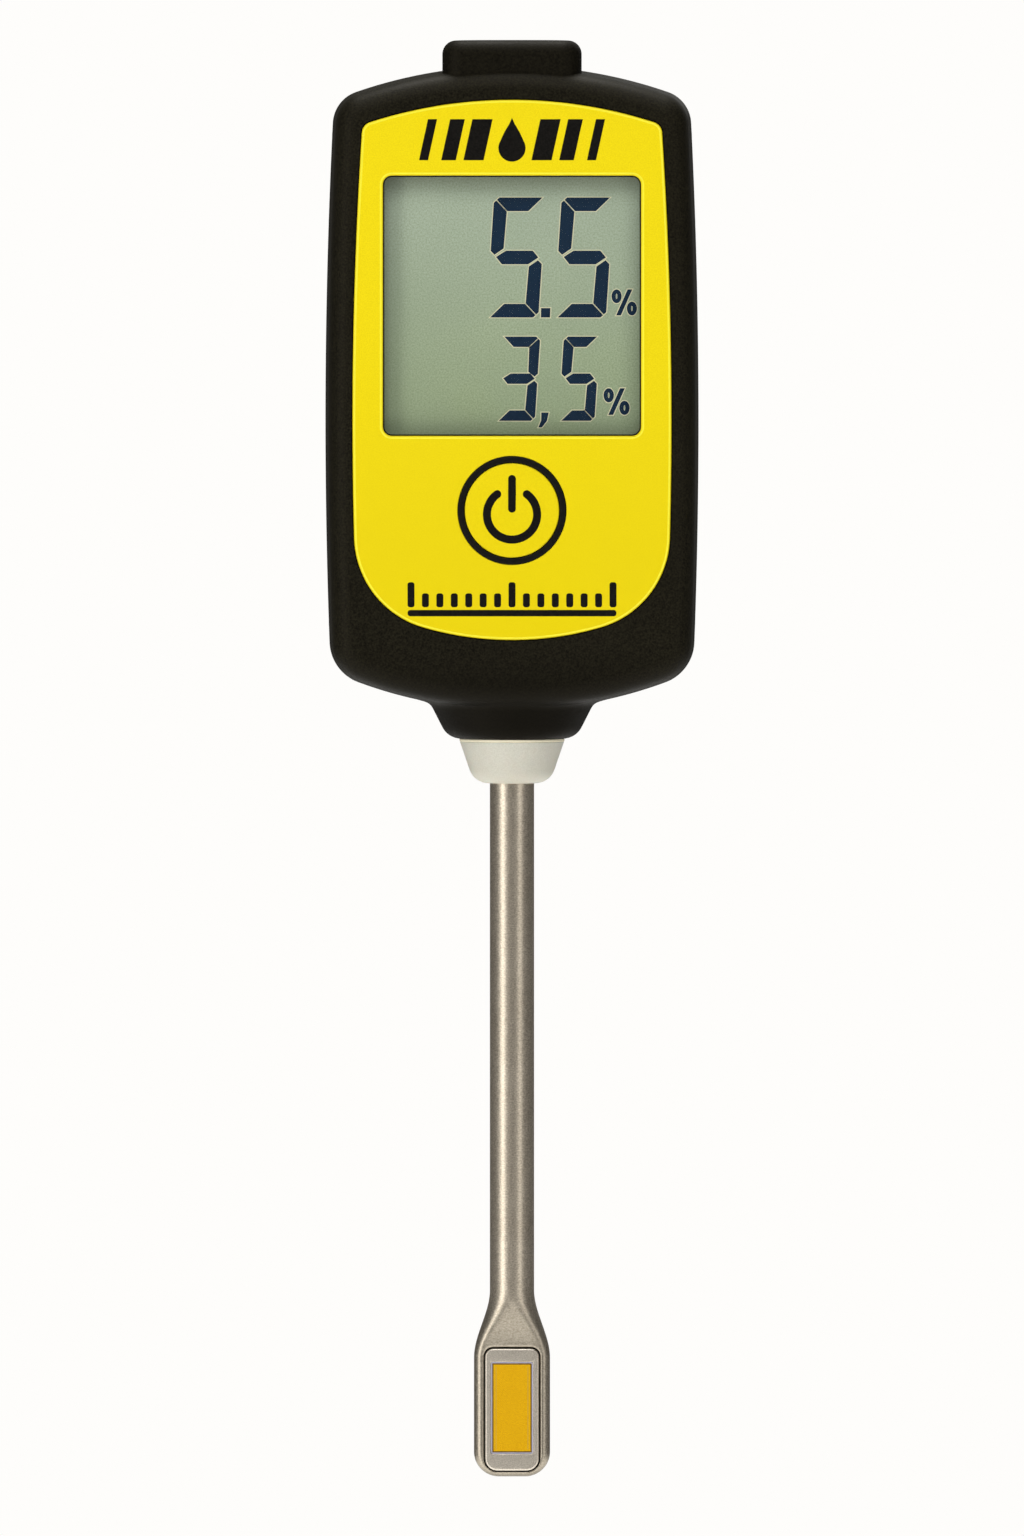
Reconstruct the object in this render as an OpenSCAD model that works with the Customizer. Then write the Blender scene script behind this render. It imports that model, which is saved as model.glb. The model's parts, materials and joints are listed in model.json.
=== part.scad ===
// Hand-held probe tester: a two-shell housing with a display and one key, and a steel dip probe
// that ends in a flat capacitive sensor. Millimetres, +Z up, probe hanging down, display facing -Y.
// The origin is the centre of the lanyard bore in the lug on top.

/* [Housing] */
// Widest width of the housing
body_w = 54; // [53:0.5:58]
// Height between the tops of the two end arcs
body_h = 93.5; // [92.5:0.5:98]
// Depth, front face to back face
body_d = 22; // [22:0.5:26]
// Radius of the soft edge round the front and the back
edge_r = 3.2; // [2.6:0.1:3.4]
// How far the sides lean in from the parting line to the soft edge
side_draft = 0.5; // [0.2:0.1:0.7]
// Wall thickness
wall = 2; // [1.8:0.1:2.2]

/* [Lug] */
// Width of the lug
lug_w = 20.1; // [18:0.1:22]
// Depth of the lug
lug_d = 19.4; // [18:0.1:20]
// Height of the lug above the bore's centre
lug_top = 1.75; // [1.6:0.05:2.2]
// Diameter of the lanyard bore
lanyard_d = 2; // [1.6:0.1:2]

/* [Front] */
// Width of the display window
window_w = 37.4; // [35:0.1:38]
// Height of the display window
window_h = 37.6; // [35:0.1:37.6]
// Diameter of the black ring round the key
key_ring_d = 15.6; // [14:0.1:16]
// How far the key travels
key_travel = 0.4; // [0.2:0.1:0.4]

/* [Probe] */
// Outside diameter of the probe tube
probe_d = 6.4; // [6:0.1:7]
// Length of bare tube between the ferrule and the sensor head
probe_l = 73.4; // [50:0.1:120]
// Width of the sensor head
head_w = 11; // [10.8:0.1:13]
// Thickness of the sensor head
head_d = 4; // [3.8:0.1:4.6]

/* [Battery] */
// Diameter of the coin cell
cell_d = 24.5; // [23:0.1:24.5]
// Height of the coin cell
cell_h = 7.7; // [7:0.1:7.7]

/* [Hidden] */

round_fn = 64;   // exact cylinders, so this only sets how fine OpenSCAD draws them
edge_steps = 5;  // facets across the soft edge
fit = 0.05;      // clearance between pieces that are fitted together

// Colours of the materials
black_abs = "#1d1b17";
black_rubber = "#151412";
yellow_foil = "#f4de16";
steel = "#b5aa9a";
brass = "#b8963e";
board_green = "#1f5a36";
chip_black = "#202124";

// Depths, front to back
half_d = body_d / 2;
front_face = -half_d;
label_floor = front_face + 0.4;
label_face = front_face + 0.1;
front_wall_in = front_face + wall;
back_wall_in = half_d - wall;
board_front = -4;
board_t = 1.6;
board_back = board_front + board_t;

// Heights, measured from the lanyard bore
body_top = lug_top - 3.3;
body_bottom = body_top - body_h;
body_mid = body_top - 0.552 * body_h;
window_z = body_top - 35;
key_z = body_top - 64.5;
cell_z = body_top - 36.5;
neck_z = body_bottom - 4.15;
ferrule_z = neck_z - 6.45;
tube_top = body_bottom + 5.5;
tube_end = ferrule_z - probe_l;

// Barrel outlines: [half width, height of the widest place, side radius, top, top radius,
//                   bottom, bottom radius, top corner radius, bottom corner radius]
housing = [body_w / 2, body_mid, 870, body_top, 69, body_bottom, 64, 5, 6.4];
label = [body_w / 2 - 4, body_mid, 640, body_top - 5, 66.6, body_bottom + 10.1, 46, 1.7, 13.8];

// ---------------------------------------------------------------- outlines

function pol(centre, r, a) = centre + r * [cos(a), sin(a)];

function arc(centre, r, from, to, steps) =
    [for (i = [0:steps - 1]) pol(centre, r, from + (to - from) * i / steps)];

// Where two circles meet, on the side that side = 1 or -1 picks.
function circles_meet(p, rp, q, rq, side) =
    let (d = norm(q - p), u = (q - p) / d, a = (rp * rp - rq * rq + d * d) / (2 * d))
    p + a * u + side * sqrt(rp * rp - a * a) * [-u[1], u[0]];

function angle_of(v) = atan2(v[1], v[0]);

// Right half of a barrel outline, from the top to the bottom: end arc, corner, side arc, corner, end arc.
function barrel_half(b, inset) =
    let (top = [0, b[3] - b[4]], bottom = [0, b[5] + b[6]], side = [b[0] - b[2], b[1]],
        ct = circles_meet(top, b[4] - b[7], side, b[2] - b[7], -1),
        cb = circles_meet(bottom, b[6] - b[8], side, b[2] - b[8], 1),
        top_a = angle_of(ct - top), upper_a = angle_of(ct - side),
        lower_a = angle_of(cb - side), bottom_a = angle_of(cb - bottom))
    concat(arc(top, b[4] - inset, 90, top_a, 8),
        arc(ct, b[7] - inset, top_a, upper_a, 6),
        arc(side, b[2] - inset, upper_a, lower_a, 8),
        arc(cb, b[8] - inset, lower_a, bottom_a, 7),
        arc(bottom, b[6] - inset, bottom_a, -90, 8));

// The whole outline, clockwise seen from the front. inset moves it inwards.
function barrel(b, inset = 0) =
    let (right = barrel_half(b, inset), n = len(right))
    concat(right, [[0, b[5] + inset]], [for (i = [n - 1:-1:1]) [-right[i][0], right[i][1]]]);

// A rectangle with its own radius at the top and bottom corners, anticlockwise.
function round_rect(w, h, r_top, r_bottom, steps = 6) =
    concat(arc([w / 2 - r_top, h / 2 - r_top], r_top, 0, 90, steps), [[w / 2 - r_top, h / 2]],
        arc([r_top - w / 2, h / 2 - r_top], r_top, 90, 180, steps), [[-w / 2, h / 2 - r_top]],
        arc([r_bottom - w / 2, r_bottom - h / 2], r_bottom, 180, 270, steps), [[r_bottom - w / 2, -h / 2]],
        arc([w / 2 - r_bottom, r_bottom - h / 2], r_bottom, 270, 360, steps), [[w / 2, r_bottom - h / 2]]);

// ---------------------------------------------------------------- solids that repeat

module along_y(y0, y1)
    translate([0, y1, 0]) rotate([90, 0, 0]) linear_extrude(y1 - y0) children();

module rod_y(r, y0, y1, x = 0, z = 0)
    translate([x, y0, z]) rotate([-90, 0, 0]) cylinder(r = r, h = y1 - y0, $fn = round_fn);

module rod_z(r, z0, z1, x = 0, y = 0)
    translate([x, y, z0]) cylinder(r = r, h = z1 - z0, $fn = round_fn);

module block(lo, hi) translate(lo) cube(hi - lo);

module window_shape(grow = 0, r = 1.3)
    translate([0, window_z]) polygon(round_rect(window_w + 2 * grow, window_h + 2 * grow, r, r));

// Skins a stack of closed loops. The loops turn anticlockwise seen from the last one's side.
module loft(loops) {
    n = len(loops[0]);
    last = (len(loops) - 1) * n;
    polyhedron(points = [for (loop = loops) each loop],
        faces = concat([[for (i = [0:n - 1]) i]], [[for (i = [n - 1:-1:0]) last + i]],
            [for (k = [0:len(loops) - 2], i = [0:n - 1], second = [false, true])
                let (a = k * n + i, b = k * n + (i + 1) % n)
                second ? [a, b + n, b] : [a, a + n, b + n]]));
}

// ---------------------------------------------------------------- housing

// [depth, inset] from the parting line to the flat face of one half
function edge_levels() = concat([[0, 0]],
    [for (i = [0:edge_steps]) let (a = 90 * i / edge_steps)
        [half_d - edge_r + edge_r * sin(a), side_draft + edge_r * (1 - cos(a))]]);

function level_loop(y, inset) = [for (p = barrel(housing, inset)) [p[0], y, p[1]]];

module half_body(side, grow = 0) {
    levels = edge_levels();
    count = len(levels);
    loft(side > 0
        ? [for (l = levels) level_loop(l[0] + (l[0] > 0 ? grow : 0), l[1] - grow)]
        : [for (i = [count - 1:-1:0]) level_loop(-levels[i][0] - (i > 0 ? grow : 0), levels[i][1] - grow)]);
}

// The neck, from its foot up, as [half width, height]: a convex corner, a cone, then a concave
// corner that runs into the underside of the housing.
neck_foot_r = 3;
neck_foot = [7.4, neck_z + neck_foot_r];
neck_cone_a = 26.7;
neck_cone_top = [11.45, body_bottom + 0.2];
neck_fillet = 2.8;
neck_fillet_c = neck_cone_top + neck_fillet * [cos(neck_cone_a), -sin(neck_cone_a)];
neck_fillet_end_a = 102;
neck_root = [12.9, body_bottom + 4];
neck_levels = concat(arc(neck_foot, neck_foot_r, -90, -neck_cone_a, 6),
    [pol(neck_foot, neck_foot_r, -neck_cone_a)],
    arc(neck_fillet_c, neck_fillet, 180 - neck_cone_a, neck_fillet_end_a, 6), [neck_root]);

// The neck is round at its foot and wider than it is deep at its top.
neck_foot_depth = 7.5;
neck_depth_gain = 0.4;
neck_facets = 48;
function neck_depth(half_width) = neck_foot_depth + neck_depth_gain * (half_width - neck_foot[0]);

module neck_half(side) {
    intersection() {
        loft([for (l = neck_levels) [for (i = [0:neck_facets - 1]) let (t = 360 * i / neck_facets)
            [l[0] * cos(t), neck_depth(l[0]) * sin(t), l[1]]]]);
        block([-20, side > 0 ? 0 : -20, neck_z - 1], [20, side > 0 ? 20 : 0, body_bottom + 5]);
    }
}

// The ferrule's shank, and the rib of the neck that stands in its groove
shank_r = 6;
shank_top = body_bottom + 1.2;
groove_z = neck_z + 2.2;
groove_h = 1.4;
groove_r = 4.6;

module neck_bore() {
    difference() {
        rod_z(shank_r + fit, neck_z - 1, body_bottom + 5);
        difference() {
            rod_z(shank_r + 1, groove_z + fit, groove_z + groove_h - fit);
            rod_z(groove_r + fit, groove_z - 1, groove_z + groove_h + 1);
        }
    }
}

lug_corner = 2.6;
lug_top_r = 2;

// The lug's stem passes through the top wall, and its foot lies under it.
stem = [14, 10];
foot = [18, 14, 2];
foot_top = body_top - wall - 0.9;

module stem_hole() block([-stem[0] / 2 - fit, -stem[1] / 2 - fit, foot_top - 1],
    [stem[0] / 2 + fit, stem[1] / 2 + fit, body_top + 2]);

// The four housing screws, from the back into inserts in the front shell
screw_at = [for (x = [-20, 20], z = [body_top - 8.6, body_bottom + 8.7]) [x, z]];
boss_r = 3;
insert_r = 2;
insert_bore_r = 1.25;
insert_y = [-6.5, -1];
screw_r = 1.2;
screw_head_r = 2.6;
screw_head_y = [7, 8.8];
counterbore_r = 3;

gasket_in = [0.9, 1.7];
gasket_y = [-0.9, 0];

module gasket_path(ease) {
    difference() {
        along_y(gasket_y[0] - ease, gasket_y[1]) polygon(barrel(housing, gasket_in[0] - ease));
        along_y(gasket_y[0] - 1, gasket_y[1] + 1) polygon(barrel(housing, gasket_in[1] + ease));
        block([-8, -3, foot_top - 1], [8, 3, body_top + 2]);
        block([-shank_r - 1, -3, neck_z], [shank_r + 1, 3, body_bottom + 5]);
    }
}

key_ring_r = key_ring_d / 2;
key_flange_r = key_ring_r + 0.9;

module front_shell() color(black_abs) {
    difference() {
        union() {
            difference() {
                union() {
                    half_body(-1);
                    neck_half(-1);
                }
                along_y(front_wall_in, 1) polygon(barrel(housing, wall));
            }
            for (at = screw_at) rod_y(boss_r, front_wall_in - 0.5, -0.2, at[0], at[1]);
            for (at = board_screw_at) rod_y(2, front_wall_in - 0.5, board_front, at[0], at[1]);
        }
        along_y(front_face - 1, label_floor) polygon(barrel(label, -fit));
        along_y(front_face - 1, 0) window_shape(fit);
        rod_y(key_ring_r + fit, front_face - 1, 0, 0, key_z);
        for (at = screw_at) rod_y(insert_r, insert_y[0], 1, at[0], at[1]);
        for (at = board_screw_at) rod_y(0.8, front_wall_in + 0.6, 0, at[0], at[1]);
        gasket_path(0);
        stem_hole();
        neck_bore();
    }
}

// The cover screws into a round seat in the back wall.
cell_y = 0.8;
cell_r = cell_d / 2;
cup_r = 12.7;
cup_floor = [-0.8, 0.5];
skirt_r = 13.9;
skirt_in = 12.45;
skirt_y = 6.5;
disc_r = 15;
disc_y = half_d - 1.7;
cup_wall_r = 15.4;
seat_wall_r = 17;
contact_slot = [5, 10];      // opening behind the cell for the lower contact
side_slot = [13.4, 5, 6];    // recess beside the cell: outer end, height, depth it reaches

module rear_shell() color(black_abs) {
    difference() {
        union() {
            difference() {
                union() {
                    half_body(1);
                    neck_half(1);
                }
                along_y(-1, back_wall_in) polygon(barrel(housing, wall));
            }
            for (at = screw_at) rod_y(boss_r + 1, 0, back_wall_in + 0.5, at[0], at[1]);
            rod_y(cup_wall_r, cup_floor[0], back_wall_in + 0.5, 0, cell_z);
            rod_y(seat_wall_r, skirt_y, back_wall_in + 0.5, 0, cell_z);
        }
        rod_y(disc_r + 0.1, disc_y - 0.1, half_d + 1, 0, cell_z);
        rod_y(skirt_r + fit, skirt_y - 0.2, half_d, 0, cell_z);
        rod_y(cup_r, cup_floor[1], half_d, 0, cell_z);
        block([-contact_slot[0] / 2, cup_floor[0] - 1, cell_z - contact_slot[1] / 2],
            [contact_slot[0] / 2, cup_floor[1] + 1, cell_z + contact_slot[1] / 2]);
        block([cell_r - 0.5, cup_floor[0] - 1, cell_z - side_slot[1] / 2],
            [side_slot[0], side_slot[2], cell_z + side_slot[1] / 2]);
        for (at = screw_at) {
            rod_y(screw_r + 0.15, -1, half_d, at[0], at[1]);
            rod_y(counterbore_r, screw_head_y[0], half_d + 1, at[0], at[1]);
        }
        along_y(half_d - plate_recess, half_d + 1) plate_shape(fit);
        stem_hole();
        neck_bore();
    }
}

module shell_gasket() color("#6d6a64") gasket_path(-0.02);

module hanging_lug() color(black_rubber) {
    difference() {
        intersection() {
            along_y(-20, 20) translate([0, lug_top - 4]) polygon(round_rect(lug_w, 8, lug_top_r, 0.1));
            translate([0, 0, body_top - 6]) linear_extrude(20)
                polygon(round_rect(lug_w, lug_d, lug_corner, lug_corner));
        }
        half_body(-1, 0.03);
        half_body(1, 0.03);
        rotate([0, 90, 0]) cylinder(r = lanyard_d / 2, h = lug_w + 2, center = true, $fn = round_fn);
    }
    block([-stem[0] / 2, -stem[1] / 2, foot_top - 0.5], [stem[0] / 2, stem[1] / 2, body_top + 0.4]);
    block([-foot[0] / 2, -foot[1] / 2, foot_top - foot[2]], [foot[0] / 2, foot[1] / 2, foot_top]);
}

module threaded_inserts() color(brass)
    for (at = screw_at) difference() {
        rod_y(insert_r, insert_y[0], insert_y[1], at[0], at[1]);
        rod_y(insert_bore_r, insert_y[0] - 1, insert_y[1] + 1, at[0], at[1]);
    }

module housing_screws() color(steel)
    for (at = screw_at) difference() {
        union() {
            rod_y(screw_r, insert_y[0] + 0.5, screw_head_y[0] + 0.1, at[0], at[1]);
            rod_y(screw_head_r, screw_head_y[0], screw_head_y[1], at[0], at[1]);
        }
        translate([at[0], screw_head_y[1] - 1, at[1]]) rotate([-90, 0, 0]) cylinder(r = 1.35, h = 2, $fn = 6);
    }

module front_label() color(yellow_foil)
    difference() {
        along_y(label_face, label_floor) polygon(barrel(label, 0.02));
        along_y(front_face - 1, 0) window_shape();
        rod_y(key_ring_r + fit, front_face - 1, 0, 0, key_z);
    }

module display_window() color("#dfe8e4", 0.35) {
    along_y(front_face + 1.1, front_wall_in + 0.1) window_shape();
    along_y(front_wall_in + 0.02, front_wall_in + 0.5) window_shape(1.2, 0.6);
}

plate = [30, 20];
plate_z = body_bottom + 23;
plate_recess = 0.2;
plate_corner = 1.5;

module plate_shape(grow = 0)
    translate([0, plate_z])
        polygon(round_rect(plate[0] + 2 * grow, plate[1] + 2 * grow, plate_corner, plate_corner));

module rating_plate() color("#b9bab8") along_y(half_d - plate_recess, half_d - 0.05) plate_shape();

// ---------------------------------------------------------------- key

key_cap_r = key_ring_r - 1.1;
key_boss_r = 5;
stem_r = 2.2;
plunger_r = 1.7;
plunger_top = -7.35;
switch_top = -6.6;
switch_w = 6;

module key_seal() color(black_rubber) {
    difference() {
        union() {
            rod_y(key_ring_r, label_face - 0.05, front_wall_in + 0.1, 0, key_z);
            rod_y(key_flange_r, front_wall_in + 0.02, front_wall_in + 1, 0, key_z);
        }
        rod_y(key_ring_r - 1, front_face - 1, front_wall_in + 0.6, 0, key_z);
        rod_y(stem_r + 0.3, front_face - 1, 0, 0, key_z);
    }
}

module power_key() color(yellow_foil) {
    rod_y(key_cap_r, label_face - 0.05, front_face + 1.6, 0, key_z);
    rod_y(key_boss_r, front_face + 1.5, front_face + 2.1, 0, key_z);
    rod_y(stem_r, front_face + 2, plunger_top - 0.02, 0, key_z);
}

module switch_plunger() color(chip_black) rod_y(plunger_r, plunger_top, switch_top + 0.5, 0, key_z);

module tact_switch() color("#3a3b3d")
    difference() {
        block([-switch_w / 2, switch_top, key_z - switch_w / 2],
            [switch_w / 2, board_front, key_z + switch_w / 2]);
        rod_y(plunger_r + fit, switch_top - 1, switch_top + 0.6 + key_travel, 0, key_z);
    }

// ---------------------------------------------------------------- display

glass_t = 1.1;
glass_y = front_wall_in + 0.6;
glass_w = window_w + 3.6;
glass_low = window_z - window_h / 2 - 1;
glass_high = window_z + window_h / 2 + 3.4;
frame_wall = 1.2;
ledge = 3;

module display_glass() color("#a9b79c") {
    block([-glass_w / 2, glass_y, glass_low], [glass_w / 2, glass_y + glass_t, glass_high]);
    block([-glass_w / 2, glass_y + glass_t, glass_low],
        [glass_w / 2, glass_y + 2 * glass_t, glass_high - ledge]);
}

module display_reflector() color("#c9cdc4")
    block([-glass_w / 2, glass_y + 2 * glass_t + 0.02, glass_low],
        [glass_w / 2, glass_y + 2 * glass_t + 0.2, glass_high - ledge]);

module display_frame() color("#e4e4de")
    difference() {
        block([-glass_w / 2 - frame_wall, glass_y + 0.8, glass_low - 1],
            [glass_w / 2 + frame_wall, board_front, glass_high + 1]);
        block([-glass_w / 2 - 0.1, glass_y - 1, glass_low - 0.1], [glass_w / 2 + 0.1, 0, glass_high + 0.1]);
    }

module contact_strip() color("#d98aa0")
    block([-glass_w / 2 + 1, glass_y + glass_t + 0.02, glass_high - ledge + 0.4],
        [glass_w / 2 - 1, board_front, glass_high - 0.4]);

// ---------------------------------------------------------------- board

board_x = 21.8;
board_low = body_bottom + 13.6;
board_high = body_top - 12.1;
board_screw_at = [for (x = [-19, 19]) [x, key_z]];
board_screw_r = 0.75;
board_screw_head_r = 1.8;

module main_board() color(board_green)
    difference() {
        block([-board_x, board_front + 0.02, board_low], [board_x, board_back, board_high]);
        for (at = board_screw_at) rod_y(1.1, board_front - 1, board_back + 1, at[0], at[1]);
    }

module board_screws() color(steel)
    for (at = board_screw_at) {
        rod_y(board_screw_r, front_wall_in + 1, board_back + 0.1, at[0], at[1]);
        rod_y(board_screw_head_r, board_back, board_back + 1.1, at[0], at[1]);
    }

module microcontroller() color(chip_black)
    block([-5, board_back, key_z - 1], [5, board_back + 1.2, key_z + 9]);

// Small parts on the back of the board: [x, height above the key, width, height, thickness]
small_parts = [[-12, 4, 3.2, 1.6, 0.9], [-12, 0, 3.2, 1.6, 0.9], [-12, -4, 2, 1.2, 0.6],
    [11, 5, 3.8, 2.2, 1.1], [11, 0, 2, 1.2, 0.6], [11, -3, 2, 1.2, 0.6], [-8, -9, 4.8, 1.8, 1.3]];

module board_components() color("#a08a62")
    for (p = small_parts) block([p[0] - p[2] / 2, board_back, key_z + p[1] - p[3] / 2],
        [p[0] + p[2] / 2, board_back + p[4], key_z + p[1] + p[3] / 2]);

module probe_connector() color("#ece8dc")
    block([-3.5, board_back, board_low], [3.5, 1.6, board_low + 4.5]);

// ---------------------------------------------------------------- battery

contact_half_w = 1.5;
contact_t = 0.3;
contact_low = cell_z - 4;

module negative_contact() color(brass) {
    block([-contact_half_w, board_back, contact_low], [contact_half_w, board_back + contact_t, cell_z + 4]);
    block([-contact_half_w, board_back, contact_low],
        [contact_half_w, cell_y - 0.1, contact_low + contact_t]);
    block([-contact_half_w, cell_y - 0.1 - contact_t, contact_low],
        [contact_half_w, cell_y - 0.1, cell_z + 3]);
}

module positive_contact() color(brass) {
    block([cell_r + 0.1, board_back, cell_z - 2], [cell_r + 0.4, 5.5, cell_z + 2]);
    block([cell_r + 0.1, board_back, cell_z - 2], [cell_r + 3, board_back + 0.3, cell_z + 2]);
}

module coin_cell() color("#c8c9ca") {
    rod_y(cell_r - 1.6, cell_y, cell_y + 0.9, 0, cell_z);
    rod_y(cell_r, cell_y + 0.8, cell_y + cell_h, 0, cell_z);
}

seal_t = 0.38;
coin_slot = [16, 1, 2.2];
seal_groove = [disc_y - 1, disc_y - 0.1];

module battery_cover() color(black_abs)
    difference() {
        union() {
            rod_y(disc_r, disc_y, half_d, 0, cell_z);
            rod_y(skirt_r, skirt_y, disc_y + 0.1, 0, cell_z);
        }
        rod_y(skirt_in, skirt_y - 1, disc_y, 0, cell_z);
        difference() {
            rod_y(skirt_r + 1, seal_groove[0], seal_groove[1], 0, cell_z);
            rod_y(skirt_r - 0.75, seal_groove[0] - 1, seal_groove[1] + 1, 0, cell_z);
        }
        block([-coin_slot[0] / 2, half_d - coin_slot[1], cell_z - coin_slot[2] / 2],
            [coin_slot[0] / 2, half_d + 1, cell_z + coin_slot[2] / 2]);
    }

module cover_seal() color("#7a2f28")
    translate([0, (seal_groove[0] + seal_groove[1]) / 2, cell_z]) rotate([90, 0, 0])
        rotate_extrude($fn = round_fn) translate([skirt_r - 0.36, 0]) circle(r = seal_t, $fn = 24);

// ---------------------------------------------------------------- probe

tube_r = probe_d / 2;
tube_bore_r = tube_r - 0.5;
seal_z = neck_z - 0.4;
ferrule_r = 7.55;

module neck_seal() color("#e6dcb8")
    difference() {
        rod_z(ferrule_r + fit, seal_z, neck_z);
        rod_z(shank_r + 0.02, seal_z - 1, neck_z + 1);
    }

ferrule_corner = 2.4;
ferrule_corner_c = [3.7, ferrule_z + ferrule_corner];
ferrule_side_a = -20;
ferrule_profile = concat([[tube_r + 0.02, ferrule_z]],
    arc(ferrule_corner_c, ferrule_corner, -90, ferrule_side_a, 6),
    [pol(ferrule_corner_c, ferrule_corner, ferrule_side_a),
        [ferrule_r, seal_z], [shank_r, seal_z], [shank_r, groove_z],
        [groove_r, groove_z], [groove_r, groove_z + groove_h], [shank_r, groove_z + groove_h],
        [shank_r, shank_top], [tube_r + 0.02, shank_top]]);

module probe_ferrule() color("#d9d8cc") difference() {
    rotate_extrude($fn = round_fn) polygon(ferrule_profile);
    difference() {
        rod_z(shank_r + 1, ferrule_seal_z - 0.5, ferrule_seal_z + 0.5);
        rod_z(shank_r - 0.9, ferrule_seal_z - 1, ferrule_seal_z + 1);
    }
}

ferrule_seal_z = shank_top - 1;

module ferrule_seal() color(black_rubber)
    translate([0, 0, ferrule_seal_z])
        rotate_extrude($fn = round_fn) translate([shank_r - 0.42, 0]) circle(r = 0.44, $fn = 24);

module probe_tube() color(steel)
    difference() {
        rod_z(tube_r, tube_end, tube_top);
        rod_z(tube_bore_r, tube_end - 1, tube_top + 1);
    }

module tube_clamp() color("#8f9296")
    difference() {
        rod_z(tube_r + 1.8, shank_top + 0.02, shank_top + 2.4);
        rod_z(tube_r + 0.02, shank_top - 1, shank_top + 3);
        block([-0.4, -9, shank_top - 1], [0.4, 0, shank_top + 3]);
    }

// ---------------------------------------------------------------- sensor head

flare_l = 9.8;
head_tip = tube_end - 27;
head_corner = 3.6;
head_edge = 1.3;
carrier = [8.3, 17.7];
carrier_z = head_tip + 0.9 + carrier[1] / 2;
chip = [5.7, 12.9];
chip_z = head_tip + 10;
head_half_d = head_d / 2;
pocket_floor = -0.8;
channel = [-1.2, 1.2];
wiring_r = 1.9;

function smooth(t) = t * t * (3 - 2 * t);

// One level of the head: a rounded rectangle of half width a, half thickness b and corner radius c.
function head_loop(z, a, b, c) = [for (p = round_rect(2 * a, 2 * b, c, c, 8)) [p[0], p[1], z]];

// Levels of the head, from the tip up: [height, half width, half thickness, corner radius].
// At the tip the corners close on an arc, and so does the soft edge.
function tip_level(t) =
    let (rise = head_corner * (1 - cos(t)), left = max(0, head_edge - rise))
    [head_tip + rise, head_w / 2 - head_corner * (1 - sin(t)),
        head_half_d - head_edge + sqrt(head_edge * head_edge - left * left), head_edge];

function flare_level(t) =
    let (s = smooth(t))
    [tube_end - flare_l * (1 - t), head_w / 2 + (tube_r - head_w / 2) * s,
        head_half_d + (tube_r - head_half_d) * s, head_edge + (tube_r - 0.01 - head_edge) * s];

module head_body()
    loft([for (l = concat([for (i = [0:8]) tip_level(90 * i / 8)], [for (i = [0:10]) flare_level(i / 10)]))
        head_loop(l[0], l[1], l[2], min(l[3], l[2] - 0.05))]);

module at_z(z) translate([0, z]) children();

module sensor_head() color(steel)
    difference() {
        union() {
            head_body();
            rod_z(tube_bore_r - 0.02, tube_end - 1, tube_end + 6);
        }
        rod_z(wiring_r, tube_end - 2, tube_end + 7);
        block([channel[0], pocket_floor - 0.1, head_tip + 2.6], [channel[1], 1.1, tube_end - 1]);
        along_y(-head_half_d - 1, pocket_floor) at_z(carrier_z)
            polygon(round_rect(carrier[0] + 0.5, carrier[1] + 0.5, 1.45, 2.05));
    }

module head_gasket() color(black_rubber)
    along_y(-1.55, pocket_floor - 0.02) at_z(carrier_z) difference() {
        polygon(round_rect(carrier[0] + 0.46, carrier[1] + 0.46, 1.43, 2.03));
        polygon(round_rect(carrier[0] + 0.04, carrier[1] + 0.04, 1.22, 1.82));
    }

module sensor_carrier() color(steel)
    difference() {
        along_y(-head_half_d - 0.1, pocket_floor - 0.02) at_z(carrier_z)
            polygon(round_rect(carrier[0], carrier[1], 1.2, 1.8));
        along_y(-head_half_d - 1, 0) at_z(chip_z) polygon(round_rect(chip[0] + 0.4, chip[1] + 0.4, 0.1, 0.1));
    }

module chip_bond() color("#b9b7c9")
    along_y(-head_half_d + 0.02, pocket_floor - 0.1) at_z(chip_z) difference() {
        polygon(round_rect(chip[0] + 0.38, chip[1] + 0.38, 0.1, 0.1));
        polygon(round_rect(chip[0] + 0.02, chip[1] + 0.02, 0.05, 0.05));
    }

module sensor_chip() color("#dba915")
    along_y(-head_half_d + 0.06, pocket_floor - 0.2) at_z(chip_z)
        polygon(round_rect(chip[0], chip[1], 0.05, 0.05));

module temperature_sensor() color("#e8e6df")
    block([-1, -0.5, head_tip + 3], [1, 0.8, head_tip + 7]);

// Two leads run to the temperature sensor and two to the chip: [x, y, lower end above the tip]
leads = [[-0.5, -0.25, 14], [0.5, -0.25, 14], [-0.5, 0.55, 7.1], [0.5, 0.55, 7.1]];

module sensor_leads() color("#c23b2e")
    for (l = leads) rod_z(0.35, head_tip + l[2], board_low - 0.05, l[0], l[1]);

// ---------------------------------------------------------------- nodes

front_shell();
rear_shell();
shell_gasket();
hanging_lug();
threaded_inserts();
housing_screws();
front_label();
display_window();
rating_plate();
key_seal();
power_key();
switch_plunger();
display_glass();
display_reflector();
display_frame();
contact_strip();
main_board();
microcontroller();
board_components();
board_screws();
tact_switch();
probe_connector();
negative_contact();
positive_contact();
coin_cell();
battery_cover();
cover_seal();
neck_seal();
probe_ferrule();
ferrule_seal();
probe_tube();
tube_clamp();
sensor_head();
head_gasket();
sensor_carrier();
chip_bond();
sensor_chip();
temperature_sensor();
sensor_leads();
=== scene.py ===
"""Looks of the hand-held dip probe tester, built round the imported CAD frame.

Everything below is worked out in millimetres in the CAD's own frame (+Z up, the display faces -Y) and
turned into metres when a mesh is made.
"""
import json
import math

import bmesh
import bpy
import numpy as np
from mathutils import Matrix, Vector, geometry


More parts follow.
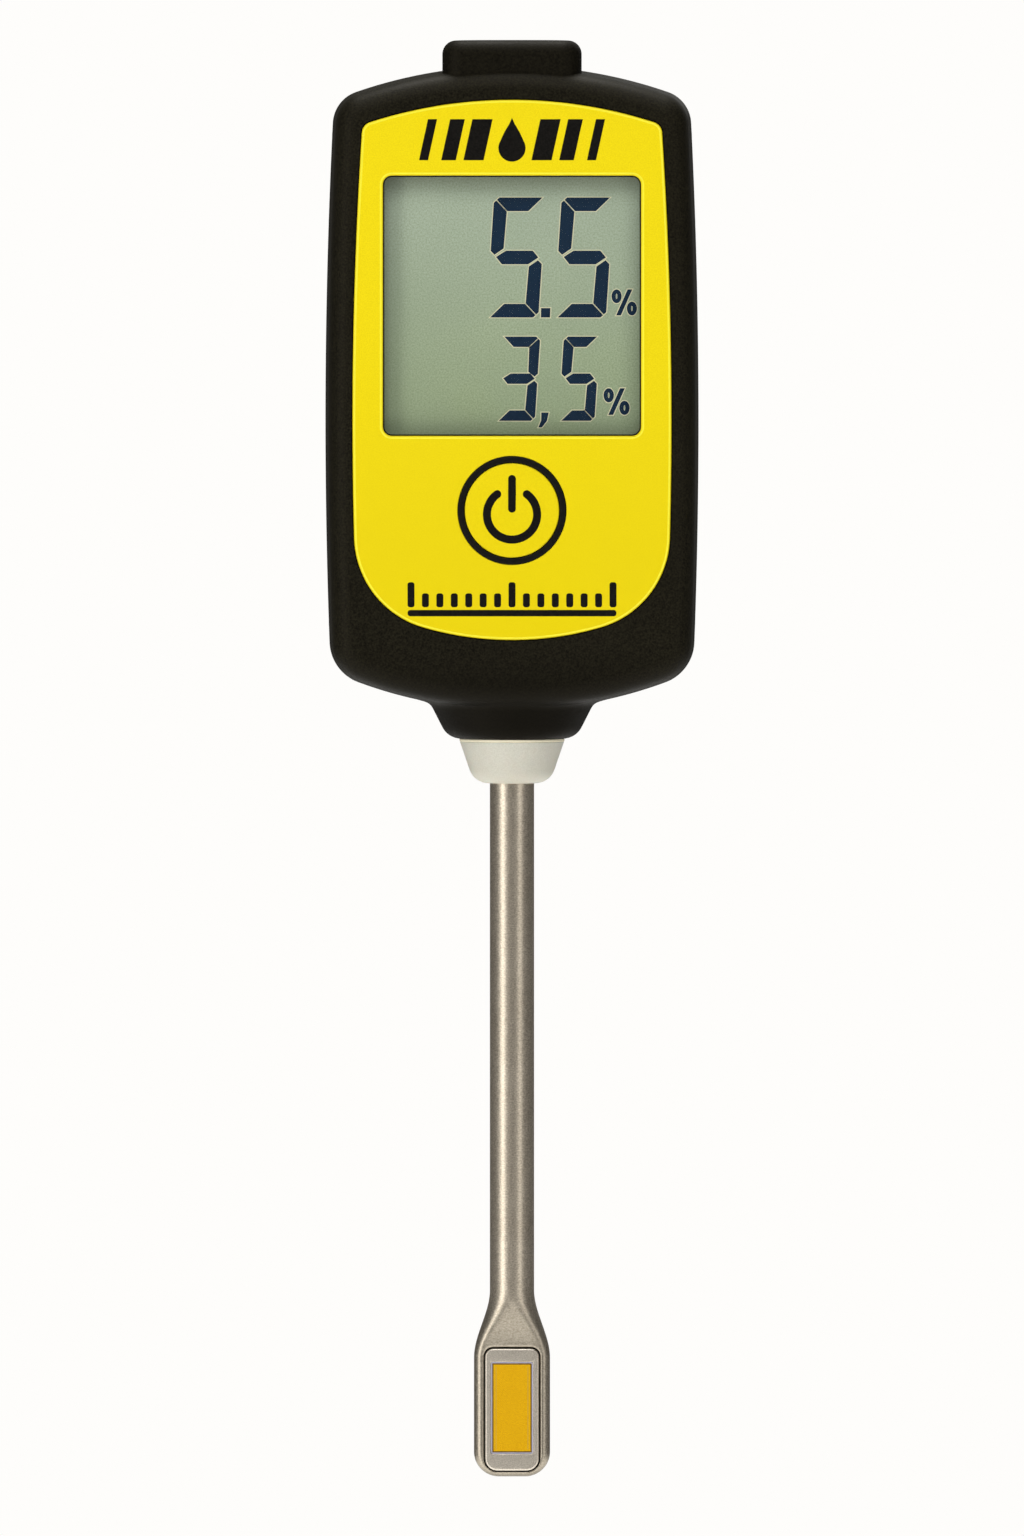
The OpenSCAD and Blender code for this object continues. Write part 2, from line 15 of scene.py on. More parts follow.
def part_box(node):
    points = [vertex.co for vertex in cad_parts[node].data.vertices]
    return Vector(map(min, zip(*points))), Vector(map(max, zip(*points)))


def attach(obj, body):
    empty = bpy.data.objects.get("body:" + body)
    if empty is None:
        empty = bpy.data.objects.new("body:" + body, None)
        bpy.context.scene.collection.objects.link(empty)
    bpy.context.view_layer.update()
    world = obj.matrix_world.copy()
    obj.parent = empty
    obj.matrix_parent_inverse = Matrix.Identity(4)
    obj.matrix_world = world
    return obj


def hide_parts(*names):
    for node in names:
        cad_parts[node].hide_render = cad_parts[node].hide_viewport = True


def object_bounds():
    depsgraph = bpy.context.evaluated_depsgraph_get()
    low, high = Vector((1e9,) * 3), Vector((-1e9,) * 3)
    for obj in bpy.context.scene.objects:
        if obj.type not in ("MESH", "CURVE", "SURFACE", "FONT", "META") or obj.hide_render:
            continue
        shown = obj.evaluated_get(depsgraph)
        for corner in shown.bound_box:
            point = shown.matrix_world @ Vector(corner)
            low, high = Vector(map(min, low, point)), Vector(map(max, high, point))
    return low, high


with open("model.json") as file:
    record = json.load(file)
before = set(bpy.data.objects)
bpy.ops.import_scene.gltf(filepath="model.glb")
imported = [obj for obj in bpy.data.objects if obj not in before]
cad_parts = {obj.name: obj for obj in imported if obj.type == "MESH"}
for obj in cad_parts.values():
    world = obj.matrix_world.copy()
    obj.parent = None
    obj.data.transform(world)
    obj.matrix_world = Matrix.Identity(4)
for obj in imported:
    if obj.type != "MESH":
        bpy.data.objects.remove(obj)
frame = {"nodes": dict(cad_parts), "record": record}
CAD_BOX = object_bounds()
MM = 0.001


class Box:
    """The box of a CAD node, in millimetres in the CAD's own frame."""

    def __init__(self, node):
        low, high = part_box(node)
        self.low, self.high = np.array(low) / MM, np.array(high) / MM
        self.mid, self.size = (self.low + self.high) / 2, self.high - self.low


# ------------------------------------------------------------------ measures taken from the frame

REAR = Box("rear_shell")
HALF_D = REAR.high[1]
BODY_TOP = REAR.high[2]
NECK_Z = REAR.low[2]
NECK_H = 4.15
BODY_BOTTOM = NECK_Z + NECK_H
HALF_W = round(REAR.high[0], 1)
BODY_MID = BODY_TOP - 0.552 * (BODY_TOP - BODY_BOTTOM)
EDGE_R = 3.2
SIDE_DRAFT = 0.5
WALL = 2.0
FRONT = -HALF_D
LABEL_BOX = Box("front_label")
PANE = Box("display_window")
KEY = Box("power_key")
KEY_Z = KEY.mid[2]
RING_R = 7.8
COVER = Box("battery_cover")
COVER_R = COVER.high[0]
COVER_Z = COVER.mid[2]
LUG = Box("hanging_lug")
FERRULE = Box("probe_ferrule")
TUBE = Box("probe_tube")
TUBE_R = TUBE.high[0]
HEAD = Box("sensor_head")
CARRIER = Box("sensor_carrier")
CHIP = Box("sensor_chip")
GLASS = Box("display_glass")
PLATE = Box("rating_plate")
WINDOW_W = 37.2
WINDOW_H = 37.5
WINDOW_Z = PANE.mid[2]

# ------------------------------------------------------------------ outlines


def circles_meet(p, rp, q, rq, side):
    """Where two circles meet, on the side that side = 1 or -1 picks."""
    p, q = np.array(p, float), np.array(q, float)
    d = np.linalg.norm(q - p)
    u = (q - p) / d
    a = (rp * rp - rq * rq + d * d) / (2 * d)
    return p + a * u + side * math.sqrt(rp * rp - a * a) * np.array([-u[1], u[0]])


def arc(centre, r, start, end, steps, last=False):
    """Points along an arc, with or without its last one. Angles in degrees."""
    t = np.radians(start + (end - start) * np.arange(steps + last) / steps)
    return np.stack([centre[0] + r * np.cos(t), centre[1] + r * np.sin(t)], 1)


class Barrel:
    """An outline of four wide arcs with round corners, as the housing and its label have."""

    def __init__(self, half_w, mid, side_r, top, top_r, bottom, bottom_r, upper_r, lower_r):
        self.r = (top_r, upper_r, side_r, lower_r, bottom_r)
        self.c_top = np.array([0, top - top_r])
        self.c_side = np.array([half_w - side_r, mid])
        self.c_bottom = np.array([0, bottom + bottom_r])
        self.c_upper = circles_meet(self.c_top, top_r - upper_r, self.c_side, side_r - upper_r, -1)
        self.c_lower = circles_meet(self.c_bottom, bottom_r - lower_r, self.c_side, side_r - lower_r, 1)
        self.a_top = self.angle(self.c_upper - self.c_top)
        self.a_upper = self.angle(self.c_upper - self.c_side)
        self.a_lower = self.angle(self.c_lower - self.c_side)
        self.a_bottom = self.angle(self.c_lower - self.c_bottom)

    @staticmethod
    def angle(v):
        return math.degrees(math.atan2(v[1], v[0]))

    def outline(self, inset=0.0, fine=3):
        """The closed outline, moved inwards by inset."""
        top_r, upper_r, side_r, lower_r, bottom_r = (r - inset for r in self.r)
        right = np.concatenate([
            arc(self.c_top, top_r, 90, self.a_top, 8 * fine),
            arc(self.c_upper, upper_r, self.a_top, self.a_upper, 6 * fine),
            arc(self.c_side, side_r, self.a_upper, self.a_lower, 12 * fine),
            arc(self.c_lower, lower_r, self.a_lower, self.a_bottom, 7 * fine),
            arc(self.c_bottom, bottom_r, self.a_bottom, -90, 8 * fine)])
        foot = [[0, self.c_bottom[1] - bottom_r]]
        left = right[:0:-1] * [-1, 1]
        return np.concatenate([right, foot, left])

    def distance(self, x, z):
        """Signed distance to the outline, exact near it."""
        x = np.abs(x)

        def to_arc(centre, r):
            return np.hypot(x - centre[0], z - centre[1]) - r

        def turned(centre):
            return np.degrees(np.arctan2(z - centre[1], x - centre[0]))

        top_r, upper_r, side_r, lower_r, bottom_r = self.r
        wide = np.maximum(np.maximum(to_arc(self.c_top, top_r), to_arc(self.c_side, side_r)),
                          to_arc(self.c_bottom, bottom_r))
        upper, lower = turned(self.c_upper), turned(self.c_lower)
        in_upper = (upper > self.a_upper) & (upper < self.a_top)
        in_lower = (lower < self.a_lower) & (lower > self.a_bottom)
        near = np.where(in_upper, to_arc(self.c_upper, upper_r), wide)
        return np.where(in_lower, to_arc(self.c_lower, lower_r), near)


HOUSING = Barrel(HALF_W, BODY_MID, 870, BODY_TOP, 69, BODY_BOTTOM, 64, 5, 6.4)
LABEL = Barrel(HALF_W - 4, BODY_MID, 640, BODY_TOP - 5.0, 66.6, BODY_BOTTOM + 10.3, 46, 1.7, 13.8)


def round_rect(w, h, r_top, r_bottom=None, x=0.0, z=0.0, steps=8):
    """A closed rectangle with round corners about (x, z)."""
    r_bottom = r_top if r_bottom is None else r_bottom
    corners = [(w / 2 - r_top, h / 2 - r_top, r_top, 0), (r_top - w / 2, h / 2 - r_top, r_top, 90),
               (r_bottom - w / 2, r_bottom - h / 2, r_bottom, 180),
               (w / 2 - r_bottom, r_bottom - h / 2, r_bottom, 270)]
    points = [arc((cx, cz), r, start, start + 90, steps, True) for cx, cz, r, start in corners]
    return np.concatenate(points) + [x, z]


def circle(r, x=0.0, z=0.0, steps=96):
    return arc((x, z), r, 0, 360, steps)


def window_outline(grow=0.0, r=1.3):
    return round_rect(WINDOW_W + 2 * grow, WINDOW_H + 2 * grow, max(r + grow, 0.05), z=WINDOW_Z)


# ------------------------------------------------------------------ meshes


def add_object(name, data):
    obj = bpy.data.objects.new(name, data)
    bpy.context.scene.collection.objects.link(obj)
    return obj


def new_object(name, verts, faces, sharp=35.0):
    """A mesh object from points in millimetres, shaded smooth up to the sharp angle."""
    mesh = bpy.data.meshes.new(name)
    mesh.from_pydata((np.asarray(verts, float) * MM).tolist(), [], [list(f) for f in faces])
    mesh.validate()
    clean(mesh)
    obj = add_object(name, mesh)
    smooth(obj, sharp)
    return obj


def clean(mesh):
    """Merges double points and turns every face outwards."""
    bm = bmesh.new()
    bm.from_mesh(mesh)
    bmesh.ops.remove_doubles(bm, verts=bm.verts, dist=1e-7)
    bmesh.ops.recalc_face_normals(bm, faces=bm.faces)
    bm.to_mesh(mesh)
    bm.free()


def smooth(obj, sharp=35.0):
    obj.data.polygons.foreach_set("use_smooth", [True] * len(obj.data.polygons))
    obj.data.set_sharp_from_angle(angle=math.radians(sharp))


def even_normals(obj):
    """Keeps flat faces flat beside a small round edge."""
    modifier = obj.modifiers.new("even normals", "WEIGHTED_NORMAL")
    modifier.keep_sharp = True
    return obj


def carve(obj, tools, operation="DIFFERENCE"):
    """Cuts or joins closed tool objects into obj, and removes them."""
    group = bpy.data.collections.new("tools")
    for tool in tools:
        group.objects.link(tool)
    modifier = obj.modifiers.new("carve", "BOOLEAN")
    modifier.operation = operation
    modifier.operand_type = "COLLECTION"
    modifier.collection = group
    modifier.solver = "EXACT"
    bpy.context.view_layer.update()
    graph = bpy.context.evaluated_depsgraph_get()
    result = bpy.data.meshes.new_from_object(obj.evaluated_get(graph))
    obj.modifiers.clear()
    obj.data = result
    for tool in tools:
        bpy.data.objects.remove(tool)
    bpy.data.collections.remove(group)
    smooth(obj)
    return obj


def loft(name, loops, capped=True):
    """Skins equal closed loops, given as arrays of 3-D points."""
    n = len(loops[0])
    verts = np.concatenate(loops)
    faces = []
    for k in range(len(loops) - 1):
        for i in range(n):
            j = (i + 1) % n
            faces.append((k * n + i, k * n + j, k * n + n + j, k * n + n + i))
    if capped:
        faces.append(tuple(range(n)))
        faces.append(tuple((len(loops) - 1) * n + i for i in range(n)))
    return new_object(name, verts, faces)


def prism(outline, y0, y1):
    return loft("tool", [np.insert(outline, 1, y, axis=1) for y in (y0, y1)])


def plate(name, loops_at, front, back, radius, steps=4):
    """A flat piece facing -Y with a soft front edge. loops_at(inset) gives closed loops, outer one first;
    holes widen as the inset grows."""
    levels = [(back, 0.0)]
    for a in (math.pi / 2 * i / steps for i in range(steps + 1)):
        levels.append((front + radius * (1 - math.sin(a)), radius * (1 - math.cos(a))))
    verts, faces, rings = [], [], []
    for y, inset in levels:
        ring = []
        for loop in loops_at(inset):
            ring.append((len(verts), len(loop)))
            verts.extend((p[0], y, p[1]) for p in loop)
        rings.append(ring)
    for low, high in zip(rings, rings[1:]):
        for (a, n), (b, _) in zip(low, high):
            faces.extend((a + i, a + (i + 1) % n, b + (i + 1) % n, b + i) for i in range(n))
    for ring in (rings[0], rings[-1]):
        loops = [[Vector((verts[a + i][0], verts[a + i][2], 0)) for i in range(n)] for a, n in ring]
        index = [a + i for a, n in ring for i in range(n)]
        faces.extend(tuple(index[i] for i in tri) for tri in geometry.tessellate_polygon(loops))
    return even_normals(new_object(name, verts, faces))


def revolve(name, profile, axis="z", centre=(0, 0, 0), steps=160, close=False):
    """Turns (radius, height) points about the z axis, or about y with the heights along +Y."""
    angles = 2 * math.pi * np.arange(steps) / steps
    loops = []
    for r, h in profile:
        u, v, w = r * np.cos(angles), r * np.sin(angles), np.full(steps, h)
        ring = np.stack([u, v, w] if axis == "z" else [u, w, v], 1)
        loops.append(ring + np.array(centre))
    if close:
        loops.append(loops[0])
    return loft(name, loops, capped=not close)


def rod(r, y0, y1, x=0.0, z=0.0):
    return prism(circle(r, x, z), y0, y1)


def post(r, z0, z1):
    return revolve("tool", [(r, z0), (r, z1)], steps=96)


def join(name, objects):
    """One object from several."""
    bm = bmesh.new()
    for obj in objects:
        bm.from_mesh(obj.data)
        bpy.data.objects.remove(obj)
    mesh = bpy.data.meshes.new(name)
    bm.to_mesh(mesh)
    bm.free()
    joined = add_object(name, mesh)
    smooth(joined)
    return joined


# ------------------------------------------------------------------ smooth solids from distance fields


def smooth_min(a, b, k):
    h = np.maximum(k - np.abs(a - b), 0) / k
    return np.minimum(a, b) - h * h * k / 4


def smooth_max(a, b, k):
    return -smooth_min(-a, -b, k)


def round_join(a, b, r):
    """Distance to a corner of radius r between two faces, given as distances."""
    a, b = a + r, b + r
    return np.hypot(np.maximum(a, 0), np.maximum(b, 0)) + np.minimum(np.maximum(a, b), 0) - r


def rect_distance(x, z, half_w, half_h, r):
    return round_join(np.abs(x) - half_w, np.abs(z) - half_h, r)


def polygon_distance(x, z, points):
    """Signed distance to a closed polygon."""
    best = np.full(np.shape(x), 1e9)
    inside = np.zeros(np.shape(x), bool)
    for (ax, az), (bx, bz) in zip(points, np.roll(points, -1, axis=0)):
        ex, ez = bx - ax, bz - az
        t = np.clip(((x - ax) * ex + (z - az) * ez) / (ex * ex + ez * ez), 0, 1)
        best = np.minimum(best, np.hypot(x - ax - t * ex, z - az - t * ez))
        crosses = (az > z) != (bz > z)
        if bz != az:
            inside ^= crosses & (x < ax + ex * (z - az) / ez)
    return np.where(inside, -best, best)


def surface(field, low, high, step):
    """Points and quads of the surface where the field is zero, each point then moved onto it."""
    axes = [np.arange(low[i], high[i] + step, step) for i in range(3)]
    values = field(*np.meshgrid(*axes, indexing="ij"))
    shape = np.array(values.shape) - 1
    total = np.zeros((*shape, 3))
    count = np.zeros(shape)
    crossings = []
    for d in range(3):
        here = [slice(None)] * 3
        there = [slice(None)] * 3
        here[d], there[d] = slice(0, -1), slice(1, None)
        f0, f1 = values[tuple(here)], values[tuple(there)]
        cross = (f0 < 0) != (f1 < 0)
        t = np.where(cross, f0 / np.where(cross, f0 - f1, 1), 0)
        crossings.append((cross, f0 < 0))
        grid = np.stack(np.meshgrid(*[np.arange(n) for n in cross.shape], indexing="ij"), -1).astype(float)
        grid[..., d] += t
        others = [i for i in range(3) if i != d]
        for a in (0, 1):
            for b in (0, 1):
                part = [slice(None)] * 3
                part[others[0]] = slice(a, a + shape[others[0]])
                part[others[1]] = slice(b, b + shape[others[1]])
                mask = cross[tuple(part)]
                total += grid[tuple(part)] * mask[..., None]
                count += mask
    used = count > 0
    index = np.full(shape, -1)
    index[used] = np.arange(used.sum())
    points = total[used] / count[used][:, None] * step + np.array(low)
    quads = []
    for d, (cross, inside) in enumerate(crossings):
        u, v = [(1, 2), (2, 0), (0, 1)][d]
        at = np.argwhere(cross)
        at = at[(at[:, u] > 0) & (at[:, v] > 0) & (at[:, u] < shape[u]) & (at[:, v] < shape[v])]
        ring = []
        for du, dv in ((-1, -1), (0, -1), (0, 0), (-1, 0)):
            cell = at.copy()
            cell[:, u] += du
            cell[:, v] += dv
            ring.append(index[tuple(cell.T)])
        quad = np.stack(ring, 1)
        flip = ~inside[tuple(at.T)]
        quad[flip] = quad[flip][:, ::-1]
        quads.append(quad)
    for _ in range(4):
        points = onto(field, points, step * 0.5)
    return points, np.concatenate(quads)


def slope(field, points, eps=0.01):
    grad = np.empty_like(points)
    for d in range(3):
        shift = np.zeros(3)
        shift[d] = eps
        grad[:, d] = (field(*(points + shift).T) - field(*(points - shift).T)) / (2 * eps)
    return grad


def onto(field, points, limit):
    """One step of each point towards the zero surface, no further than the limit."""
    grad = slope(field, points)
    move = -field(*points.T)[:, None] * grad / np.maximum((grad ** 2).sum(1), 1e-6)[:, None]
    length = np.linalg.norm(move, axis=1)[:, None]
    return points + move * np.minimum(1, limit / np.maximum(length, 1e-9))


def cut_flat(obj, point, normal, rim=0.0, depth=0.0):
    """Keeps what is behind a plane and closes the cut. rim and depth give the cut's edge a small chamfer."""
    bm = bmesh.new()
    bm.from_mesh(obj.data)
    point, normal = Vector(point) * MM, Vector(normal)
    if rim:
        geom = bm.verts[:] + bm.edges[:] + bm.faces[:]
        bmesh.ops.bisect_plane(bm, geom=geom, plane_co=point - normal * rim * MM, plane_no=normal)
    geom = bm.verts[:] + bm.edges[:] + bm.faces[:]
    bmesh.ops.bisect_plane(bm, geom=geom, dist=1e-7, plane_co=point, plane_no=normal, clear_outer=True)
    edges = [e for e in bm.edges if e.is_boundary]
    if depth:
        bm.normal_update()
        moves = {v: v.normal - normal * v.normal.dot(normal) for e in edges for v in e.verts}
        for v, out in moves.items():
            v.co -= out.normalized() * depth * MM
    bmesh.ops.edgeloop_fill(bm, edges=edges)
    bmesh.ops.recalc_face_normals(bm, faces=bm.faces)
    bm.to_mesh(obj.data)
    bm.free()
    smooth(obj)
    return obj


# ------------------------------------------------------------------ materials


def srgb(r, g, b):
    """Linear colour from 0 to 255 display values."""
    def linear(v):
        v /= 255
        return v / 12.92 if v <= 0.04045 else ((v + 0.055) / 1.055) ** 2.4
    return (linear(r), linear(g), linear(b), 1.0)


def darkened(colour, share):
    return (*(c * share for c in colour[:3]), 1.0)


class Finish:
    """A Principled material made from small procedural parts. Texture lengths are in millimetres."""

    def __init__(self, name, colour, rough=0.5, shine=0.5, **sockets):
        self.mat = bpy.data.materials.new(name)
        self.mat.use_nodes = True
        self.mat.diffuse_color = colour
        self.tree = self.mat.node_tree
        self.shader = self.tree.nodes["Principled BSDF"]
        self.fill(self.shader, {"Base Color": colour, "Roughness": rough, "Specular IOR Level": shine})
        self.fill(self.shader, {key.replace("_", " "): value for key, value in sockets.items()})
        self.normal = None
        self.coords = self.node("TexCoord")
        at = {0: self.coords["Object"], "Scale": 1 / MM}
        self.place = self.node("VectorMath", at, operation="SCALE")[0]

    def fill(self, node, values):
        """Links or sets inputs of a node, by name or number."""
        for key, value in values.items():
            if isinstance(value, bpy.types.NodeSocket):
                self.tree.links.new(value, node.inputs[key])
            else:
                node.inputs[key].default_value = value

    def node(self, kind, values=None, **settings):
        """The outputs of a new node."""
        node = self.tree.nodes.new("ShaderNode" + kind)
        for key, value in settings.items():
            setattr(node, key, value)
        self.fill(node, values or {})
        return node.outputs

    def math(self, operation, a, b=0.0, c=0.0):
        return self.node("Math", {0: a, 1: b, 2: c}, operation=operation)[0]

    def axis(self, letter, vector=None):
        """One part of a vector, which is the place in millimetres if not given."""
        return self.node("SeparateXYZ", {0: vector or self.place})["XYZ".index(letter)]

    def noise(self, size, detail=2.0, stretch=(1, 1, 1), rough=0.5):
        """Noise whose blotches are about size mm across, longer by stretch."""
        sizes = tuple(size * s for s in stretch)
        at = self.node("VectorMath", {0: self.place, 1: sizes}, operation="DIVIDE")[0]
        values = {"Vector": at, "Scale": 1.0, "Detail": detail, "Roughness": rough}
        return self.node("TexNoise", values)["Fac"]

    def spread(self, value, low=0.0, high=1.0):
        """Maps the middle of a noise to the range from low to high."""
        return self.node("MapRange", {"Value": value, "From Min": 0.3, "From Max": 0.7, "To Min": low,
                                      "To Max": high})["Result"]

    def fade(self, value, start, end):
        """0 at start to 1 at end, with soft ends."""
        return self.node("MapRange", {"Value": value, "From Min": start, "From Max": end},
                         interpolation_type="SMOOTHSTEP")["Result"]

    def mix(self, factor, a, b):
        return self.node("Mix", {0: factor, 6: a, 7: b}, data_type="RGBA")[2]

    def tint(self, tone, mask, strength, shade):
        """A tone mixed with a shade, by up to strength where the mask is 1."""
        return self.mix(self.math("MULTIPLY", mask, strength), tone, shade)

    def blend(self, a, b, share):
        """Two textures added, a by its share and b by the rest."""
        return self.math("MULTIPLY_ADD", a, share, self.math("MULTIPLY", b, 1 - share))

    def colour(self, value):
        self.fill(self.shader, {"Base Color": value})
        return self

    def rough(self, value, low, high):
        self.fill(self.shader, {"Roughness": self.spread(value, low, high)})
        return self

    def bump(self, height, depth):
        """Adds relief of depth mm to what is there already."""
        values = {"Strength": 1.0, "Distance": depth * MM, "Height": height}
        if self.normal is not None:
            values["Normal"] = self.normal
        self.normal = self.node("Bump", values)["Normal"]
        self.fill(self.shader, {"Normal": self.normal})
        return self


def moulded(name, dark, light, grain=0.3, relief=0.03, rough=(0.46, 0.62), painted_foot_shade=0.0, **sockets):
    """Matt moulded plastic or rubber with a fine spark-eroded texture, and painted shade darkening it towards
    its foot by the share given.
    """
    m = Finish(name, light, **sockets)
    fine, patch = m.noise(grain, 1.5), m.noise(9.0, 3.0)
    tone = m.mix(m.spread(m.blend(patch, fine, 0.12)), dark, light)
    # painted shade: the tone darkens from the label's foot down to the neck, in place of the shade that falls
    # there
    if painted_foot_shade:
        tone = m.tint(tone, m.fade(m.axis("Z"), LABEL_BOX.low[2], NECK_Z + 2), painted_foot_shade, dark)
    return m.colour(tone).rough(m.blend(fine, patch, 0.6), *rough).bump(fine, relief).mat


def metal(name, dark, light, rough, grain, stretch=(1, 1, 1), relief=0.004, painted_underside_shade=0.0, upper=None):
    """Metal with a directional grain and a cloudier patch tone, with painted shade where it faces down, by
    the share given.
    upper holds the dark and light tones that the sensor head takes on towards the tube."""
    m = Finish(name, light, Metallic=1.0)
    lines, patch = m.noise(grain, 2.0, stretch, 0.6), m.noise(6.0, 3.0)
    weave = m.spread(m.blend(patch, lines, 0.15))
    tone = m.mix(weave, dark, light)
    if upper:
        towards_tube = m.fade(m.axis("Z"), TUBE.low[2] - 5, TUBE.low[2] - 0.5)
        tone = m.mix(towards_tube, tone, m.mix(weave, *upper))
    # painted shade: faces turned downwards are darkened, in place of the shade under them
    if painted_underside_shade:
        shade_facing_down = m.fade(m.axis("Z", m.coords["Normal"]), -0.2, -1.0)
        tone = m.tint(tone, shade_facing_down, painted_underside_shade, darkened(dark, 0.3))
    return m.colour(tone).rough(lines, *rough).bump(lines, relief).mat


def plain(name, colour, rough=0.5, grain=0.6, tone=0.85, **sockets):
    """A simple inner part: slight change of tone, roughness and relief."""
    m = Finish(name, colour, **sockets)
    n = m.noise(grain, 4.0)
    m.colour(m.mix(m.spread(n), darkened(colour, tone), colour))
    return m.rough(n, rough - 0.08, rough + 0.08).bump(n, 0.004).mat


def label_finish(name):
    """Printed yellow polyester with a very fine stipple, a slow random change of tone and painted shade
    darkening it towards the bottom.
    """
    m = Finish(name, srgb(245, 222, 23), shine=0.15)
    stipple, cloud = m.noise(0.17, 1.0), m.noise(22.0, 2.0)
    # painted shade: the yellow darkens towards the label's foot, as light falls from above
    low = m.fade(m.axis("Z"), LABEL_BOX.high[2], LABEL_BOX.low[2])
    tone = m.mix(m.spread(stipple), srgb(238, 214, 10), srgb(250, 228, 20))
    tone = m.tint(tone, m.math("POWER", low, 2.0), 0.75, srgb(232, 210, 8))
    m.colour(m.tint(tone, m.spread(cloud), 0.1, srgb(231, 204, 14)))
    return m.rough(m.blend(cloud, stipple, 0.5), 0.38, 0.52).bump(stipple, 0.006).mat


def display_finish(name):
    """Grey-green reflective display: painted shadow round its edge from the window's recess, painted shade
    darkening it towards the bottom, fine polariser grain.
    """
    m = Finish(name, srgb(155, 169, 145), shine=0.25)
    grain, cloud = m.noise(0.24, 1.5), m.noise(11.0, 2.0)
    side = m.math("SUBTRACT", WINDOW_W / 2, m.math("ABSOLUTE", m.axis("X")))
    above = m.math("SUBTRACT", WINDOW_Z + WINDOW_H / 2, m.axis("Z"))
    below = m.math("SUBTRACT", m.axis("Z"), WINDOW_Z - WINDOW_H / 2)
    # painted shade: both tones grow darker from the top of the window to its foot
    height = m.fade(above, 0.0, WINDOW_H)
    light = m.mix(height, srgb(180, 195, 173), srgb(163, 179, 144))
    dark = m.mix(height, srgb(154, 168, 146), srgb(140, 155, 118))
    tone = m.tint(m.mix(m.spread(grain), dark, light), m.spread(cloud), 0.25, srgb(146, 161, 138))
    # painted shadow along the top, foot and sides of the window, strongest under its top edge
    for edge, reach, strength, shade in ((above, 2.6, 0.25, srgb(128, 128, 96)),
                                         (below, 2.0, 0.05, srgb(130, 140, 98)),
                                         (side, 1.2, 0.08, srgb(128, 138, 106))):
        tone = m.tint(tone, m.fade(edge, reach, 0.0), strength, shade)
    return m.colour(tone).rough(grain, 0.45, 0.6).bump(grain, 0.004).mat


def chip_finish(name):
    """Amber coated ceramic with fine comb electrodes under the coating."""
    m = Finish(name, srgb(226, 172, 18), shine=0.15)
    grain, cloud = m.noise(0.16, 1.5), m.noise(2.6, 3.0)
    pitch = 0.34
    comb = m.math("SINE", m.math("MULTIPLY", m.math("ADD", m.axis("X"), m.axis("Z")), 2 * math.pi / pitch))
    tone = m.mix(m.spread(grain), srgb(206, 152, 2), srgb(230, 181, 12))
    tone = m.tint(tone, m.spread(cloud), 0.2, srgb(208, 156, 4))
    m.colour(m.tint(tone, m.fade(comb, 0.2, 1.0), 0.14, srgb(206, 150, 4)))
    return m.rough(grain, 0.36, 0.5).bump(comb, 0.004).bump(grain, 0.008).mat


def ferrule_finish(name):
    """Ivory moulded plastic, slightly translucent, greyer towards its rim."""
    m = Finish(name, srgb(205, 203, 190), shine=0.4, Subsurface_Weight=0.12, Subsurface_Scale=0.002)
    grain, cloud = m.noise(0.2, 1.0), m.noise(4.0, 3.0)
    tone = m.mix(m.spread(grain), srgb(196, 194, 181), srgb(209, 208, 196))
    tone = m.tint(tone, m.spread(cloud), 0.12, srgb(196, 193, 177))
    m.colour(m.tint(tone, m.fade(m.axis("Z"), NECK_Z, FERRULE.low[2]), 0.3, srgb(196, 192, 176)))
    return m.rough(grain, 0.4, 0.52).bump(grain, 0.01).mat


def board_finish(name):
    """Green solder resist with copper tracks showing through."""
    m = Finish(name, srgb(28, 92, 54), 0.35, Coat_Weight=0.4, Coat_Roughness=0.2)
    pitch = 1.6
    tracks = m.math("SINE", m.math("MULTIPLY", m.axis("X"), 2 * math.pi / pitch))
    on = m.math("MULTIPLY", m.fade(tracks, 0.1, 0.3), m.fade(m.noise(5.0, 1.0, (1, 1, 3)), 0.48, 0.52))
    m.colour(m.mix(on, srgb(24, 84, 48), srgb(52, 124, 70)))
    return m.rough(m.noise(0.5, 3.0), 0.28, 0.42).bump(on, 0.03).mat


def black_finishes():
    """Moulded plastics, rubbers and inks."""
    warm = {"shine": 0.1, "Specular_Tint": (1, 0.9, 0.72, 1)}
    return {
        # the housing's foot and neck take painted shade, darkened by up to 0.92
        "housing_plastic": moulded("moulded_black", srgb(6, 5, 3), srgb(33, 31, 21), 0.26, painted_foot_shade=0.92,
                                   **warm),
        "lug_rubber": moulded("lug_black", srgb(5, 4, 2), srgb(24, 22, 14), 0.28, 0.034, (0.5, 0.66), **warm),
        "seal_rubber": moulded("seal_black", srgb(14, 13, 12), srgb(26, 25, 23), 0.2, 0.01, (0.6, 0.75)),
        "cover_seal_rubber": moulded("seal_red", srgb(108, 38, 30), srgb(136, 52, 42), 0.3, 0.01),
        "key_ring": moulded("print_black", srgb(8, 7, 5), srgb(24, 22, 17), 0.25, 0.01, (0.45, 0.6),
                            shine=0.12),
        "ink": moulded("ink_black", srgb(8, 7, 6), srgb(24, 22, 19), 0.25, 0.006, (0.42, 0.58), shine=0.1),
    }


